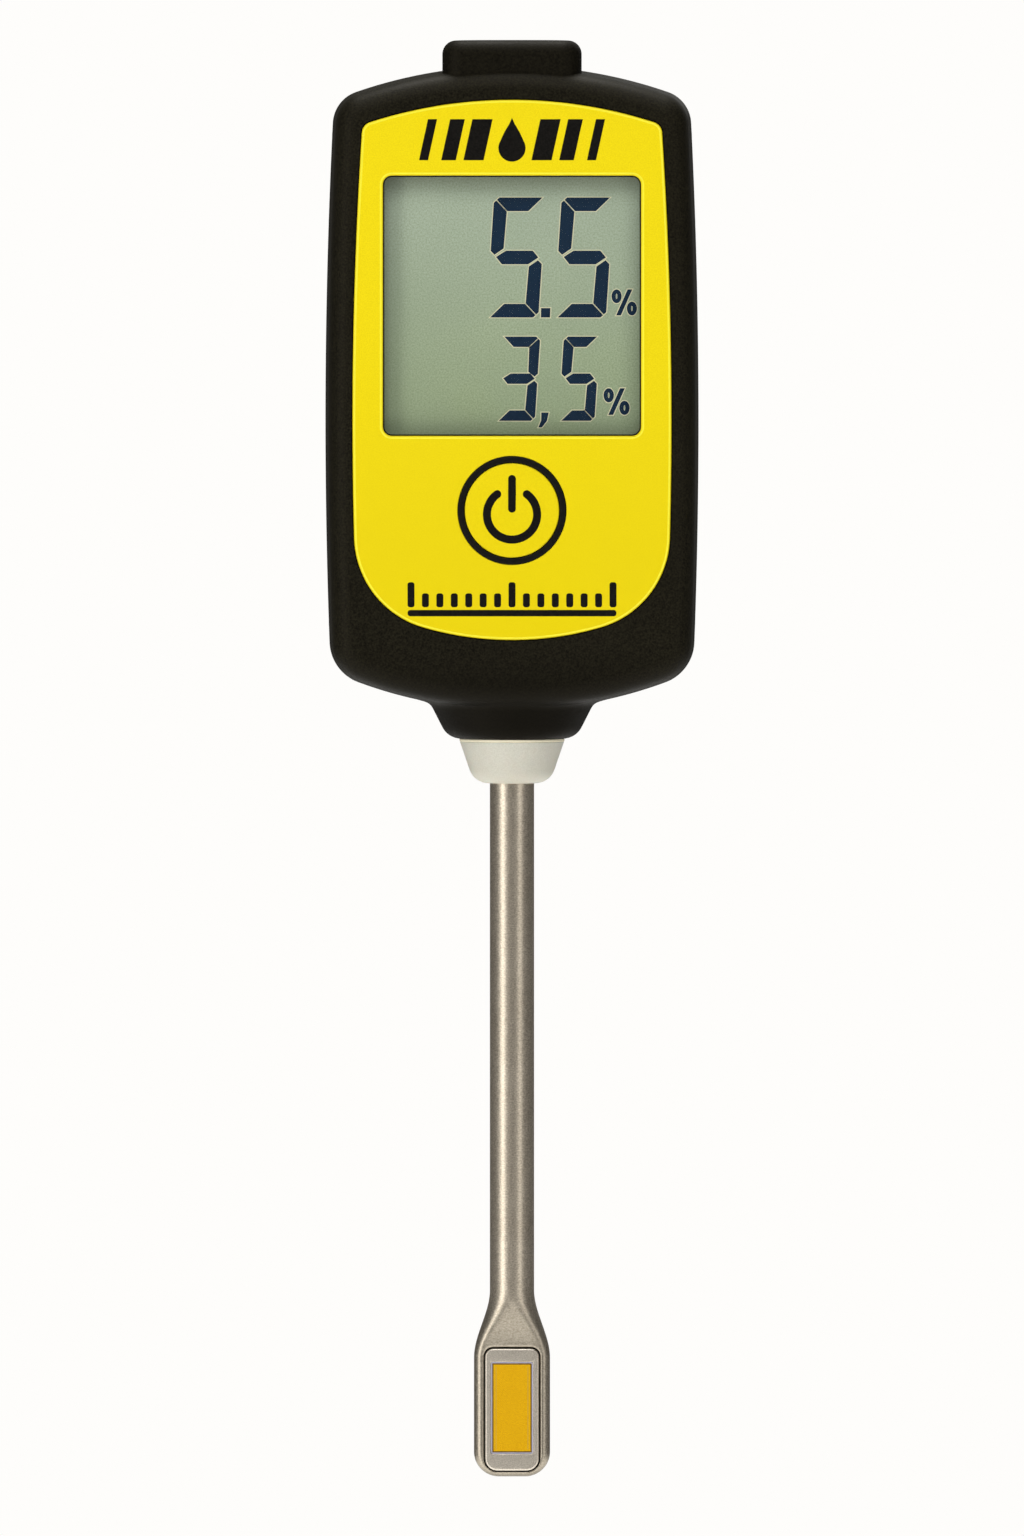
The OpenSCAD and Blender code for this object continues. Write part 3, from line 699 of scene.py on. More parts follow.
def metal_finishes():
    tube_tones = (srgb(168, 156, 138), srgb(228, 218, 201))
    drawn = (1.8, 1.8, 1)
    return {
        "contact_brass": metal("brass_contact", srgb(160, 128, 60), srgb(206, 172, 92), (0.25, 0.4), 0.2,
                               (1, 1, 6)),
        "screw_steel": metal("screw_steel", srgb(138, 134, 126), srgb(196, 192, 184), (0.25, 0.42), 0.15),
        "rating_plate": metal("plate_silver", srgb(150, 151, 150), srgb(188, 189, 187), (0.38, 0.5), 0.25,
                              (8, 1, 1), 0.003),
        "cell_can": metal("cell_nickel", srgb(176, 178, 180), srgb(222, 223, 224), (0.18, 0.3), 0.25,
                          (6, 1, 1)),
        "probe_steel": metal("probe_steel", *tube_tones, (0.32, 0.45), 0.16, drawn, 0.006),
        "clamp_steel": metal("clamp_steel", srgb(120, 124, 128), srgb(170, 173, 176), (0.3, 0.45), 0.3),
        # the sensor head takes painted shade on its downward faces, by 0.6
        "head_steel": metal("head_steel", srgb(152, 143, 127), srgb(200, 191, 175), (0.32, 0.45), 0.16, drawn,
                            0.006, 0.6, tube_tones),
        "carrier_steel": metal("carrier_steel", srgb(194, 185, 170), srgb(240, 232, 219), (0.38, 0.48), 0.16,
                               relief=0.006),
    }


def plain_finishes():
    return {
        "component_plastic": plain("component_black", srgb(32, 33, 36), 0.45),
        "window_clear": plain("window_clear", srgb(70, 76, 72), 0.3, 3.0, 0.97, shine=0.4, Alpha=0.02),
        "lcd_reflector": plain("reflector", srgb(164, 178, 152)),
        "lcd_frame": plain("frame_white", srgb(228, 228, 222), 0.55),
        "contact_strip": plain("strip_pink", srgb(217, 138, 160), 0.6),
        "components": plain("components", srgb(160, 138, 98)),
        "connector": plain("connector_ivory", srgb(236, 232, 220)),
        "neck_seal": plain("neck_cream", srgb(240, 232, 205), 0.45, 0.5, 0.93),
        "chip_bond": plain("bond_grey", srgb(188, 190, 212), 0.35, 0.3, 0.92),
        "temperature_ceramic": plain("ceramic_white", srgb(232, 230, 223), 0.4),
        "lead_insulation": plain("lead_red", srgb(194, 59, 46), 0.45),
        # a brighter yellow used as a painted highlight on the label's edges
        "painted_rim_highlight": plain("painted_rim_highlight", srgb(255, 244, 58), 0.4, 0.4, 0.95, shine=0.3),
        # a dark brown used as painted shadow round the chip's edge
        "painted_chip_shadow": plain("painted_chip_shadow", srgb(92, 66, 14), 0.45, 0.3, 0.9),
        "chip_trace": plain("chip_trace", srgb(190, 160, 70), 0.4, 0.3, 0.93),
        "segment_ink": plain("segment_blue", srgb(20, 42, 64), 0.45, 0.3, 0.9, shine=0.15),
        "segment_edge": plain("segment_halo", srgb(222, 220, 184), 0.5, 0.3, 0.96, shine=0.15),
    }


def special_finishes():
    return {
        # the label and the key cap both carry the painted shade towards their foot
        "label_foil": label_finish("label_yellow"),
        "key_cap": label_finish("key_yellow"),
        "lcd_glass": display_finish("display_green"),
        "board": board_finish("board_green"),
        "ferrule_plastic": ferrule_finish("ferrule_ivory"),
        "sensor_chip": chip_finish("chip_amber"),
    }


FINISH = black_finishes() | metal_finishes() | plain_finishes() | special_finishes()
SLOT_OF = {row["node"]: row["material_slot"] for row in frame["record"]["subparts"]}


def settle(obj, slot, *replaces, body="root", finish=None):
    """Gives a piece its material, its body and the CAD nodes it stands for."""
    obj.data.materials.clear()
    obj.data.materials.append(FINISH[finish or slot])
    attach(obj, body)
    if replaces:
        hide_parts(*replaces)
    return obj


# ------------------------------------------------------------------ housing

NECK_FOOT_R = 3.0
NECK_FOOT = (7.4, NECK_Z + NECK_FOOT_R)
NECK_CONE_A = 26.7
NECK_CONE_TOP = (11.45, BODY_BOTTOM + 0.2)
NECK_FILLET = 2.8
NECK_FILLET_END_A = 102
NECK_ROOT = 12.9
NECK_FOOT_DEPTH = 7.5
NECK_DEPTH_GAIN = 0.4
NECK_BLEND = 0.5
CELL = 0.5  # spacing of the housing's surface points
GAP = 0.16  # dark gap round the label
LABEL_FLOOR = FRONT + 0.4
SHANK_R = 6.0
SEAT_BOSS_R, SEAT_FLANGE_R, SEAT_BORE_R, CELL_CUP_R = 15.4, 17, 13.95, 12.7
COVER_DISC = 1.7  # thickness of the battery cover's disc
SCREW_BOX = Box("housing_screws")
SCREW_HEAD_R, SCREW_HEAD_H = 2.6, 1.8
SCREW_HIGH = SCREW_BOX.high[1]
SCREWS = [(x, z) for x in (SCREW_BOX.low[0] + SCREW_HEAD_R, SCREW_BOX.high[0] - SCREW_HEAD_R)
          for z in (SCREW_BOX.low[2] + SCREW_HEAD_R, SCREW_BOX.high[2] - SCREW_HEAD_R)]


def neck_profile():
    """The neck's right-hand profile as a closed polygon of (half width, height)."""
    a = math.radians(NECK_CONE_A)
    centre = (NECK_CONE_TOP[0] + NECK_FILLET * math.cos(a), NECK_CONE_TOP[1] - NECK_FILLET * math.sin(a))
    inside = BODY_BOTTOM + 4
    return np.concatenate([
        [[0, NECK_Z]], arc(NECK_FOOT, NECK_FOOT_R, -90, -NECK_CONE_A, 12, True),
        arc(centre, NECK_FILLET, 180 - NECK_CONE_A, NECK_FILLET_END_A, 10),
        [[NECK_ROOT, inside], [0, inside]]])


NECK = neck_profile()


def neck_field(x, y, z):
    """The neck is round at its foot and wider than it is deep at its top."""
    half_width = np.hypot(x, y)
    for _ in range(5):
        depth = np.maximum(NECK_FOOT_DEPTH + NECK_DEPTH_GAIN * (half_width - NECK_FOOT[0]), 1.0)
        half_width = np.sqrt(x * x + (y * half_width / depth) ** 2)
    return polygon_distance(half_width, z, NECK)


def body_field(x, y, z):
    """The two-shell body without its neck: drafted sides, soft edges."""
    depth = np.abs(y)
    side = HOUSING.distance(x, z) + SIDE_DRAFT * np.minimum(depth / (HALF_D - EDGE_R), 1)
    return round_join(side, depth - HALF_D, EDGE_R)


def housing_field(x, y, z):
    body = body_field(x, y, z)
    near = z < BODY_BOTTOM + 6
    neck = np.full(np.shape(x), 50.0)
    neck[near] = neck_field(x[near], y[near], z[near])
    return smooth_min(body, neck, NECK_BLEND)


def housing_half(name, side, points, quads):
    """One half of the housing's skin, closed at the parting plane with a small chamfer."""
    half = new_object(name, points, quads, 180)
    return cut_flat(half, (0, 0, 0), (0, -side, 0), 0.22, 0.14)


def make_housing():
    points, quads = surface(housing_field, (-HALF_W - 1, -HALF_D - 1, NECK_Z - 1),
                            (HALF_W + 1, HALF_D + 1, BODY_TOP + 1), CELL)
    front = housing_half("front_shell_skin", -1, points, quads)
    inside = HALF_D - WALL
    carve(front, [
        prism(HOUSING.outline(WALL), -inside, 1),
        prism(LABEL.outline(-GAP), FRONT - 1, LABEL_FLOOR),
        prism(window_outline(0.05), FRONT - 1, 0),
        rod(RING_R + 0.1, FRONT - 1, 0, z=KEY_Z),
        post(SHANK_R + 0.05, NECK_Z - 1, BODY_BOTTOM + 3)])
    settle(front, "housing_plastic", "front_shell")

    rear = housing_half("rear_shell_skin", 1, points, quads)
    carve(rear, [prism(HOUSING.outline(WALL), -1, inside),
                 post(SHANK_R + 0.05, NECK_Z - 1, BODY_BOTTOM + 3)])
    seat_y = COVER.low[1]
    carve(rear, [rod(SEAT_BOSS_R, -0.8, inside + 0.5, z=COVER_Z),
                 rod(SEAT_FLANGE_R, seat_y, inside + 0.5, z=COVER_Z)], "UNION")
    plate_recess = round_rect(PLATE.size[0] + 0.16, PLATE.size[2] + 0.16, 1.58, z=PLATE.mid[2])
    recesses = [rod(COVER_R + 0.12, HALF_D - COVER_DISC - 0.1, HALF_D + 1, z=COVER_Z),
                rod(SEAT_BORE_R, seat_y - 0.2, HALF_D, z=COVER_Z), rod(CELL_CUP_R, 0.5, HALF_D, z=COVER_Z),
                prism(plate_recess, HALF_D - 0.2, HALF_D + 1)]
    recesses += [rod(3.0, SCREW_HIGH - SCREW_HEAD_H, HALF_D + 1, x, z) for x, z in SCREWS]
    carve(rear, recesses)
    settle(rear, "housing_plastic", "rear_shell")


def make_screws():
    """Pan heads with a hexagon socket and a plain shank."""
    low, under, edge = SCREW_BOX.low[1], SCREW_HIGH - SCREW_HEAD_H, 0.7
    profile = [(0, low), (1.0, low), (1.2, low + 0.3), (1.2, under), (2.5, under),
               (SCREW_HEAD_R, under + 0.1),
               *arc((SCREW_HEAD_R - edge, SCREW_HIGH - edge), edge, 0, 80, 4, True),
               (1.7, SCREW_HIGH), (0, SCREW_HIGH)]
    heads = [carve(revolve("screw", profile, "y", (x, 0, z), 64),
                   [prism(circle(1.35, x, z, 6), SCREW_HIGH - 1, SCREW_HIGH + 1)]) for x, z in SCREWS]
    settle(join("housing_screw_set", heads), "screw_steel", "housing_screws")


def make_lug():
    """The block on top, soft all round its top, with the lanyard bore across it and its stem inside."""
    half_w, half_d = LUG.size[0] / 2, LUG.size[1] / 2
    top, foot = LUG.high[2], LUG.low[2]
    crown_drop, corner, top_r, seat_gap, bore_edge = 0.12, 3.0, 1.9, 0.6, 0.35
    bore_r = next(m for m in frame["record"]["mounts"] if m["name"] == "lanyard_hole")["dims"]["r_mm"]

    def field(x, y, z):
        crown = top - crown_drop * (x / half_w) ** 4
        cap = round_join(rect_distance(x, y, half_w, half_d, corner), z - crown, top_r)
        cap = np.maximum(cap, -(body_field(x, y, z) + seat_gap))
        cap = smooth_max(cap, bore_r - np.hypot(y, z), bore_edge)
        stem = np.maximum(rect_distance(x, y, 7, 5, 0.4), np.abs(z - (foot + BODY_TOP) / 2) - 2.4)
        foot_plate = np.maximum(rect_distance(x, y, 8.9, 6.9, 0.4), np.abs(z - foot - 1) - 1)
        return np.minimum(cap, np.minimum(stem, foot_plate))

    points, quads = surface(field, (-half_w - 1, -half_d - 1, foot - 1),
                            (half_w + 1, half_d + 1, top + 1), 0.3)
    settle(new_object("hanging_lug_block", points, quads, 50), "lug_rubber", "hanging_lug")


def make_cover():
    """Coin-slot battery cover with a skirt, a seal groove and soft edges."""
    top, foot = COVER.high[1], COVER.low[1]
    disc_y, edge = top - COVER_DISC, 0.45
    skirt_r, skirt_in, groove_r, r = 13.9, 12.45, 13.15, COVER_R
    profile = [(0, disc_y), (skirt_in, disc_y), (skirt_in, foot + 0.2), (skirt_in + 0.2, foot),
               (skirt_r - 0.3, foot), (skirt_r, foot + 0.3), (skirt_r, disc_y - 1), (groove_r, disc_y - 1),
               (groove_r, disc_y - 0.1), (skirt_r, disc_y - 0.1), (skirt_r, disc_y), (r - 0.15, disc_y),
               (r, disc_y + 0.15), *arc((r - edge, top - edge), edge, 0, 90, 4, True),
               (12.35, top), (12.2, top - 0.18), (11.9, top - 0.18), (11.75, top), (0, top)]
    cover = revolve("battery_cover_cap", profile, "y", (0, 0, COVER_Z), 192)
    coin_r = 32.5
    carve(cover, [revolve("tool", [(coin_r, -1.1), (coin_r, 1.1)], "z", (0, top - 1 + coin_r, COVER_Z), 256)])
    settle(even_normals(cover), "housing_plastic", "battery_cover", body="battery_cover")


# ------------------------------------------------------------------ label, key and prints

LABEL_FACE = LABEL_BOX.low[1]
INK = 0.02  # how far a print stands on its ground


def make_label():
    def loops(inset):
        return [LABEL.outline(inset), window_outline(inset), circle(RING_R + 0.05 + inset, z=KEY_Z)]
    label = plate("yellow_label", loops, LABEL_FACE, LABEL_FLOOR, 0.16)
    settle(label, "label_foil", "front_label")


def print_on(name, face, height, shapes, back=0.05):
    """Flat shapes, each a list of loops, that stand on a face by their height."""
    parts = [plate(name, lambda inset, s=shape: s, face - height, face + back, 0.0001, 1) for shape in shapes]
    return join(name, parts) if len(parts) > 1 else parts[0]


def slanted_bar(x, z, w, h, lean):
    """A parallelogram whose middle is at (x, z)."""
    d = h / 2 * lean
    return np.array([(x - w / 2 - d, z - h / 2), (x + w / 2 - d, z - h / 2), (x + w / 2 + d, z + h / 2),
                     (x - w / 2 + d, z + h / 2)])


def drop(x, z, h):
    """A falling drop: a round belly under a point."""
    r = h * 0.31
    belly = (x, z - h / 2 + r)
    side = arc(belly, r, 152, 388, 40)
    tip = np.array([[x, z + h / 2]])
    right = np.array([(x + r * k, z + h / 2 - h * m) for k, m in ((0.2, 0.14), (0.55, 0.32))])[::-1]
    left = (right * [-1, 1] + [2 * x, 0])[::-1]
    return np.concatenate([side, right, tip, left])


def make_label_prints():
    """A drop between slanted bars above the window, and a plain scale under the key."""
    top_z = (LABEL_BOX.high[2] + WINDOW_Z + WINDOW_H / 2) / 2 - 0.45
    shapes = [drop(0, top_z, 6.3)]
    for side in (-1, 1):
        for i, width in enumerate((2.9, 2.1, 1.3)):
            shapes.append(slanted_bar(side * (4.9 + 3.6 * i), top_z, width, 5.9, 0.22))
    foot, pitch = KEY_Z - 14.8, 2.08
    shapes.append(round_rect(30.1, 0.9, 0.4, z=foot))
    for i in range(-7, 8):
        tall = 3.6 if i % 7 == 0 else 2.0
        shapes.append(round_rect(1.0, tall, 0.35, x=i * pitch, z=foot + 0.85 + tall / 2))
    settle(print_on("label_print", LABEL_FACE, INK, [[shape] for shape in shapes]), "key_ring", finish="ink")
    # painted highlight: bright yellow rings along the label's edge and the window's edge, in place of light
    # caught by their rounded edges
    edges = [[LABEL.outline(0.15), LABEL.outline(0.42)], [window_outline(0.45), window_outline(0.19)]]
    settle(print_on("label_painted_rim_highlights", LABEL_FACE, 0.012, edges), "label_foil", finish="painted_rim_highlight")
    # painted shadow: a dark ring just inside the window's edge, in place of the shade at the rim of the
    # recess
    line = plate("window_painted_shadow_line", lambda i: [window_outline(-0.01 - i), window_outline(-0.2 + i)],
                 LABEL_FACE + 0.1, LABEL_FACE + 0.9, 0.03)
    settle(line, "key_ring", finish="ink")


def ring_bar(points, width):
    """Outline of a stroke of even width with round ends along a path."""
    points = np.asarray(points, float)
    ahead = np.gradient(points, axis=0)
    ahead /= np.linalg.norm(ahead, axis=1)[:, None]
    side = np.stack([-ahead[:, 1], ahead[:, 0]], 1) * width / 2
    start = math.degrees(math.atan2(side[0][1], side[0][0]))
    end = math.degrees(math.atan2(-side[-1][1], -side[-1][0]))
    cap_end = arc(points[-1], width / 2, end, end + 180, 12)
    cap_start = arc(points[0], width / 2, start, start + 180, 12)
    return np.concatenate([(points - side)[1:-1], cap_end, (points + side)[-2:0:-1], cap_start])


def make_key():
    """The rubber ring, the yellow cap inside it and the black symbol on the cap."""
    seal = Box("key_seal")
    face, flange = seal.low[1], seal.high[0]
    wall_in, inner, soft = FRONT + WALL, RING_R - 0.9, 0.18
    profile = [(2.5, wall_in + 1), (flange, wall_in + 1), (flange, wall_in + 0.05), (RING_R, wall_in + 0.05),
               *arc((RING_R - soft, face + soft), soft, 0, -90, 3, True),
               *arc((inner + soft, face + soft), soft, -90, -180, 3, True),
               (inner, wall_in + 0.6), (2.5, wall_in + 0.6)]
    ring = revolve("key_ring_seal", profile, "y", (0, 0, KEY_Z), 192, close=True)
    settle(even_normals(ring), "key_ring", "key_seal")

    cap_r, top, edge = KEY.high[0] + 0.1, KEY.low[1], 0.22
    profile = [(0, top), *arc((cap_r - edge, top + edge), edge, -90, 0, 3, True), (cap_r, FRONT + 1.6),
               (5, FRONT + 1.6), (5, FRONT + 2.1), (2.2, FRONT + 2.1), (2.2, KEY.high[1]), (0, KEY.high[1])]
    cap = revolve("power_key_cap", profile, "y", (0, 0, KEY_Z), 192)
    settle(even_normals(cap), "key_cap", "power_key", body="key")

    stroke, bar_w, opening = 1.16, 1.12, 36
    middle, radius = KEY_Z - 0.58, 4.2 - stroke / 2
    angles = np.radians(np.linspace(90 - opening, opening - 270, 64))
    round_part = np.stack([radius * np.cos(angles), middle + radius * np.sin(angles)], 1)
    bar = [(0, KEY_Z + 0.25), (0, KEY_Z + 2.4), (0, KEY_Z + 4.55)]
    symbol = print_on("key_symbol", top, INK, [[ring_bar(round_part, stroke)], [ring_bar(bar, bar_w)]])
    settle(symbol, "key_ring", body="key", finish="ink")


# ------------------------------------------------------------------ display


def segment_shapes(w, h, t, gap, on):
    """The seven bars of a digit, named a to g, upright on z = 0. Ends with no neighbour are shorter."""
    e = gap / 2 * math.sqrt(2)
    c, mid = 0.34 * t, h / 2

    def cap(left, right):
        """The top bar, its ends joined to the side bars named, or free."""
        start = [(c + e, h), (c / 2 + e, h - c / 2), (t + e, h - t)]
        if left not in on:
            start = [(0.26 * t, h), (1.24 * t, h - t)]
        end = [(w - t - e, h - t), (w - c / 2 - e, h - c / 2), (w - c - e, h)]
        if right not in on:
            end = [(w - 1.24 * t, h - t), (w - 0.26 * t, h)]
        return np.array(start + end)

    f = np.array([(0, h - c - e), (c / 2, h - c / 2 - e), (t, h - t - e), (t * 0.94, mid + t * 0.66),
                  (0.3 * t, mid + 0.2 * t), (0, mid + 0.48 * t)])
    g = np.array([(0.42 * t, mid + 0.04 * t), (1.12 * t, mid + t / 2), (w - 0.72 * t, mid + t / 2),
                  (w - 0.28 * t, mid), (w - t, mid - t / 2), (0.88 * t, mid - t / 2)])
    turn, over, across = np.array([w, h]), np.array([0, h]), np.array([w, 0])
    return {"a": cap("f", "b"), "f": f, "g": g, "c": turn - f, "d": cap("e", "c") * [1, -1] + over,
            "b": f * [-1, 1] + across, "e": f * [1, -1] + over}


def grow(outline, by):
    """A convex outline moved outwards."""
    points = np.asarray(outline, float)
    area = np.sum(points[:, 0] * np.roll(points[:, 1], -1) - np.roll(points[:, 0], -1) * points[:, 1])
    if area < 0:
        points = points[::-1]
    edges = np.roll(points, -1, axis=0) - points
    out = np.stack([edges[:, 1], -edges[:, 0]], 1) / np.linalg.norm(edges, axis=1)[:, None]
    before = np.roll(out, 1, axis=0)
    corner = out + before
    return points + corner * (by / np.maximum((corner * out).sum(1), 0.35))[:, None]


def percent(x, z, h):
    """A percent sign from its lower left corner: two upright ovals and a slanted stroke."""
    wide, tall, stroke = h * 0.39, h * 0.53, h * 0.165
    squeeze = np.array([wide / tall, 1])
    rings = []
    for cx, cz in ((x + wide / 2, z + h - tall / 2), (x + h * 0.98 - wide / 2, z + tall / 2)):
        outer, inner = circle(tall / 2, steps=40) * squeeze, circle(tall / 2 - stroke, steps=40)
        rings.append([outer + [cx, cz], inner * [(wide / 2 - stroke) / (tall / 2 - stroke), 1] + [cx, cz]])
    return rings, slanted_bar(x + h * 0.49, z + h / 2, stroke * 1.1, h, 0.44)


def make_digits():
    """The two readings: five point five over three comma five, in percent."""
    lean = math.tan(math.radians(3.7))
    face = GLASS.low[1]
    right = WINDOW_W / 2
    ink, rings = [], []

    def digit(on, x, z, w, h, t):
        shapes = segment_shapes(w, h, t, 0.13 * t / 1.8, on)
        for name in on:
            shape = shapes[name]
            ink.append(shape + np.stack([x + shape[:, 1] * lean, np.full(len(shape), z)], 1))

    high_z, low_z = WINDOW_Z - 1.7, WINDOW_Z - 16.6
    for x in (right - 22.3, right - 12.55):
        digit("afgcd", x, high_z, 7.5, 17.3, 1.97)
    ink.append(slanted_bar(right - 13.75, high_z + 0.68, 1.35, 1.36, 0.03))
    digit("abgcd", right - 20.9, low_z, 5.6, 12.15, 1.5)
    digit("afgcd", right - 11.9, low_z, 5.2, 12.15, 1.5)
    comma = np.array([(0, 0), (0.5, 0), (1.25, 0.95), (1.5, 2.15), (0.42, 2.15), (0.4, 1.0)])
    ink.append(comma + [right - 14.8, low_z - 0.95])
    for x, z, h in ((right - 4.25, high_z + 0.3, 3.75), (right - 5.4, low_z + 0.85, 3.85)):
        pair, stroke = percent(x, z, h)
        rings += pair
        ink.append(stroke)

    def print_set(name, spread, height, finish):
        shapes = [[grow(shape, spread) if spread else shape] for shape in ink]
        for outer, inner in rings:
            middle = outer.mean(0)
            shapes.append([middle + (outer - middle) * (1 + spread),
                           middle + (inner - middle) * (1 - 2 * spread)])
        settle(print_on(name, face, height, shapes), "lcd_glass", finish=finish)

    print_set("display_segments", 0, 0.03, "segment_ink")
    print_set("segment_borders", 0.13, 0.012, "segment_edge")


def make_display():
    """Clear window pane, and the display's two glasses with the readings on them."""
    pane_face = PANE.low[1]
    pane = plate("window_pane", lambda i: [window_outline(-0.04 - i)], pane_face, pane_face + 1.1, 0.12)
    rim = plate("tool", lambda i: [window_outline(1.2 - i, 0.3), window_outline(i - 0.2)], pane_face + 1.12,
                PANE.high[1], 0.05)
    settle(even_normals(join("display_window_pane", [pane, rim])), "window_clear", "display_window")

    ledge, between = 3.0, GLASS.low[1] + 1.1

    def sheet(front, back, shorter):
        def loops(i):
            return [round_rect(GLASS.size[0] - 2 * i, GLASS.size[2] - shorter - 2 * i, 0.3,
                               z=GLASS.mid[2] - shorter / 2)]
        return plate("glass", loops, front, back, 0.06)

    sheets = [sheet(GLASS.low[1], between, 0), sheet(between + 0.01, GLASS.high[1], ledge)]
    settle(even_normals(join("display_glass_pair", sheets)), "lcd_glass", "display_glass")
    make_digits()


# ------------------------------------------------------------------ probe


def make_ferrule():
    """The ivory cone with its shank in the neck, the cream ring above it and the steel tube."""
    seal = Box("neck_seal")
    top, low = seal.low[2], FERRULE.low[2]
    bore = TUBE_R + 0.02
    rim_r, corner, groove_r, groove, groove_h = FERRULE.high[0], 2.9, 4.6, NECK_Z + 2.2, 1.4
    foot = arc((3.4, low + corner), corner, -90, -20, 14, True)
    slope_up = np.array([rim_r, top]) - foot[-1]
    profile = [(bore, low + 0.15), (bore + 0.15, low), *foot,
               *(foot[-1] + slope_up * k for k in (0.15, 0.5, 0.85)),
               (rim_r - 0.02, top - 0.06), (rim_r - 0.1, top), (SHANK_R, top), (SHANK_R, groove),
               (groove_r, groove), (groove_r, groove + groove_h), (SHANK_R, groove + groove_h),
               (SHANK_R, FERRULE.high[2]), (bore, FERRULE.high[2])]
    ferrule = revolve("probe_ferrule_cone", profile, steps=192, close=True)
    settle(even_normals(ferrule), "ferrule_plastic", "probe_ferrule")

    r, soft = seal.high[0], 0.14
    profile = [(SHANK_R + 0.02, top), *arc((r - soft, top + soft), soft, -90, 0, 3, True),
               (r, seal.high[2] - 0.05), (r - 0.1, seal.high[2]), (SHANK_R + 0.02, seal.high[2])]
    settle(even_normals(revolve("neck_seal_ring", profile, steps=192, close=True)), "neck_seal", "neck_seal")

    wall = 0.5
    heights = np.linspace(TUBE.low[2], TUBE.high[2], 24)
    tube = [(TUBE_R, z) for z in heights] + [(TUBE_R - wall, z) for z in heights[::-1]]
    settle(even_normals(revolve("probe_tube_steel", tube, close=True)), "probe_steel", "probe_tube")


HEAD_CORNER = 3.6
HEAD_EDGE = 1.3
FLARE = 9.8
HEAD_HALF_W = HEAD.high[0]
HEAD_HALF_D = 2.0
POCKET_FLOOR = -0.8
GROOVE = 0.2
CARRIER_HALF_W = 3.9
CARRIER_TOP_R, CARRIER_FOOT_R = 1.2, 1.8


def carrier_distance(x, z):
    """Distance to the raised plate's outline, rounder below than above."""
    up = z - CARRIER.mid[2]
    return rect_distance(x, up, CARRIER_HALF_W, CARRIER.size[2] / 2,
                         np.where(up > 0, CARRIER_TOP_R, CARRIER_FOOT_R))


def head_field(x, y, z):
    """A round tube that flares and flattens into a spade with soft edges and a pocket in front."""
    tip, tube_end = HEAD.low[2], TUBE.low[2]
    t = np.clip((z - (tube_end - FLARE)) / FLARE, 0, 1)
    s = t * t * (3 - 2 * t)
    half_w = HEAD_HALF_W + (TUBE_R - HEAD_HALF_W) * s
    half_d = HEAD_HALF_D + (TUBE_R - HEAD_HALF_D) * s
    edge = HEAD_EDGE + (TUBE_R - 0.01 - HEAD_EDGE) * s
    half_l = 40  # long enough for the tip's rectangle to end inside the straight part
    plan = np.where(z < tip + HEAD_CORNER + 1,
                    rect_distance(x, z - tip - half_l, HEAD_HALF_W, half_l, HEAD_CORNER), np.abs(x) - half_w)
    solid = round_join(plan, np.abs(y) - half_d, edge)
    pocket = np.maximum(carrier_distance(x, z) - GROOVE, y - POCKET_FLOOR)
    return smooth_max(solid, -pocket, 0.22)


def make_head():
    """Spade head, the dark seal in its groove, the raised plate, and the amber chip in the plate."""
    points, quads = surface(head_field, (-HEAD_HALF_W - 0.7, -TUBE_R - 0.6, HEAD.low[2] - 0.7),
                            (HEAD_HALF_W + 0.7, TUBE_R + 0.6, TUBE.low[2] + 1.2), 0.2)
    head = new_object("sensor_head_spade", points, quads, 60)
    cut_flat(head, (0, 0, TUBE.low[2] + 0.3), (0, 0, 1))
    cut_flat(head, (0, 0, TUBE.low[2]), (0, 0, 1))
    smooth(head, 60)
    settle(head, "head_steel", "sensor_head")

    def frame_at(grow_by, inset):
        g = grow_by - inset
        return round_rect(2 * (CARRIER_HALF_W + g), CARRIER.size[2] + 2 * g, max(CARRIER_TOP_R + g, 0.1),
                          max(CARRIER_FOOT_R + g, 0.1), z=CARRIER.mid[2])

    def chip_at(g):
        return round_rect(CHIP.size[0] + 2 * g, CHIP.size[2] + 2 * g, 0.06 + max(g, 0), z=CHIP.mid[2])

    floor, face = POCKET_FLOOR - 0.02, CHIP.low[1]
    gasket = plate("head_groove_seal", lambda i: [frame_at(GROOVE - 0.02, i), frame_at(0.02, -i)],
                   0.45 - HEAD_HALF_D, floor, 0.08)
    settle(gasket, "seal_rubber", "head_gasket")
    carrier = plate("sensor_carrier_plate", lambda i: [frame_at(0, i), chip_at(0.2 + i * 0.4)],
                    CARRIER.low[1], floor, 0.28, 6)
    settle(carrier, "carrier_steel", "sensor_carrier")
    bond = plate("chip_bond_line", lambda i: [chip_at(0.19 - i), chip_at(0.01 + i)], face + 0.02,
                 POCKET_FLOOR - 0.1, 0.04)
    settle(bond, "chip_bond", "chip_bond")
    settle(plate("sensor_chip_amber", lambda i: [chip_at(-i)], face, CHIP.high[1], 0.07), "sensor_chip",
           "sensor_chip")
    # painted shadow: a dark ring just inside the chip's edge, in place of the shade at the rim of its recess
    chip_shadow_ring = print_on("chip_painted_edge_shadow", face, 0.008, [[chip_at(-0.02), chip_at(-0.17)]], 0.03)
    settle(chip_shadow_ring, "sensor_chip", finish="painted_chip_shadow")
    traces = [[round_rect(0.07, CHIP.size[2] - 0.9, 0.01, x=side * (CHIP.size[0] / 2 - 0.55), z=CHIP.mid[2])]
              for side in (-1, 1)]
    settle(print_on("chip_traces", face, 0.006, traces), "sensor_chip", finish="chip_trace")


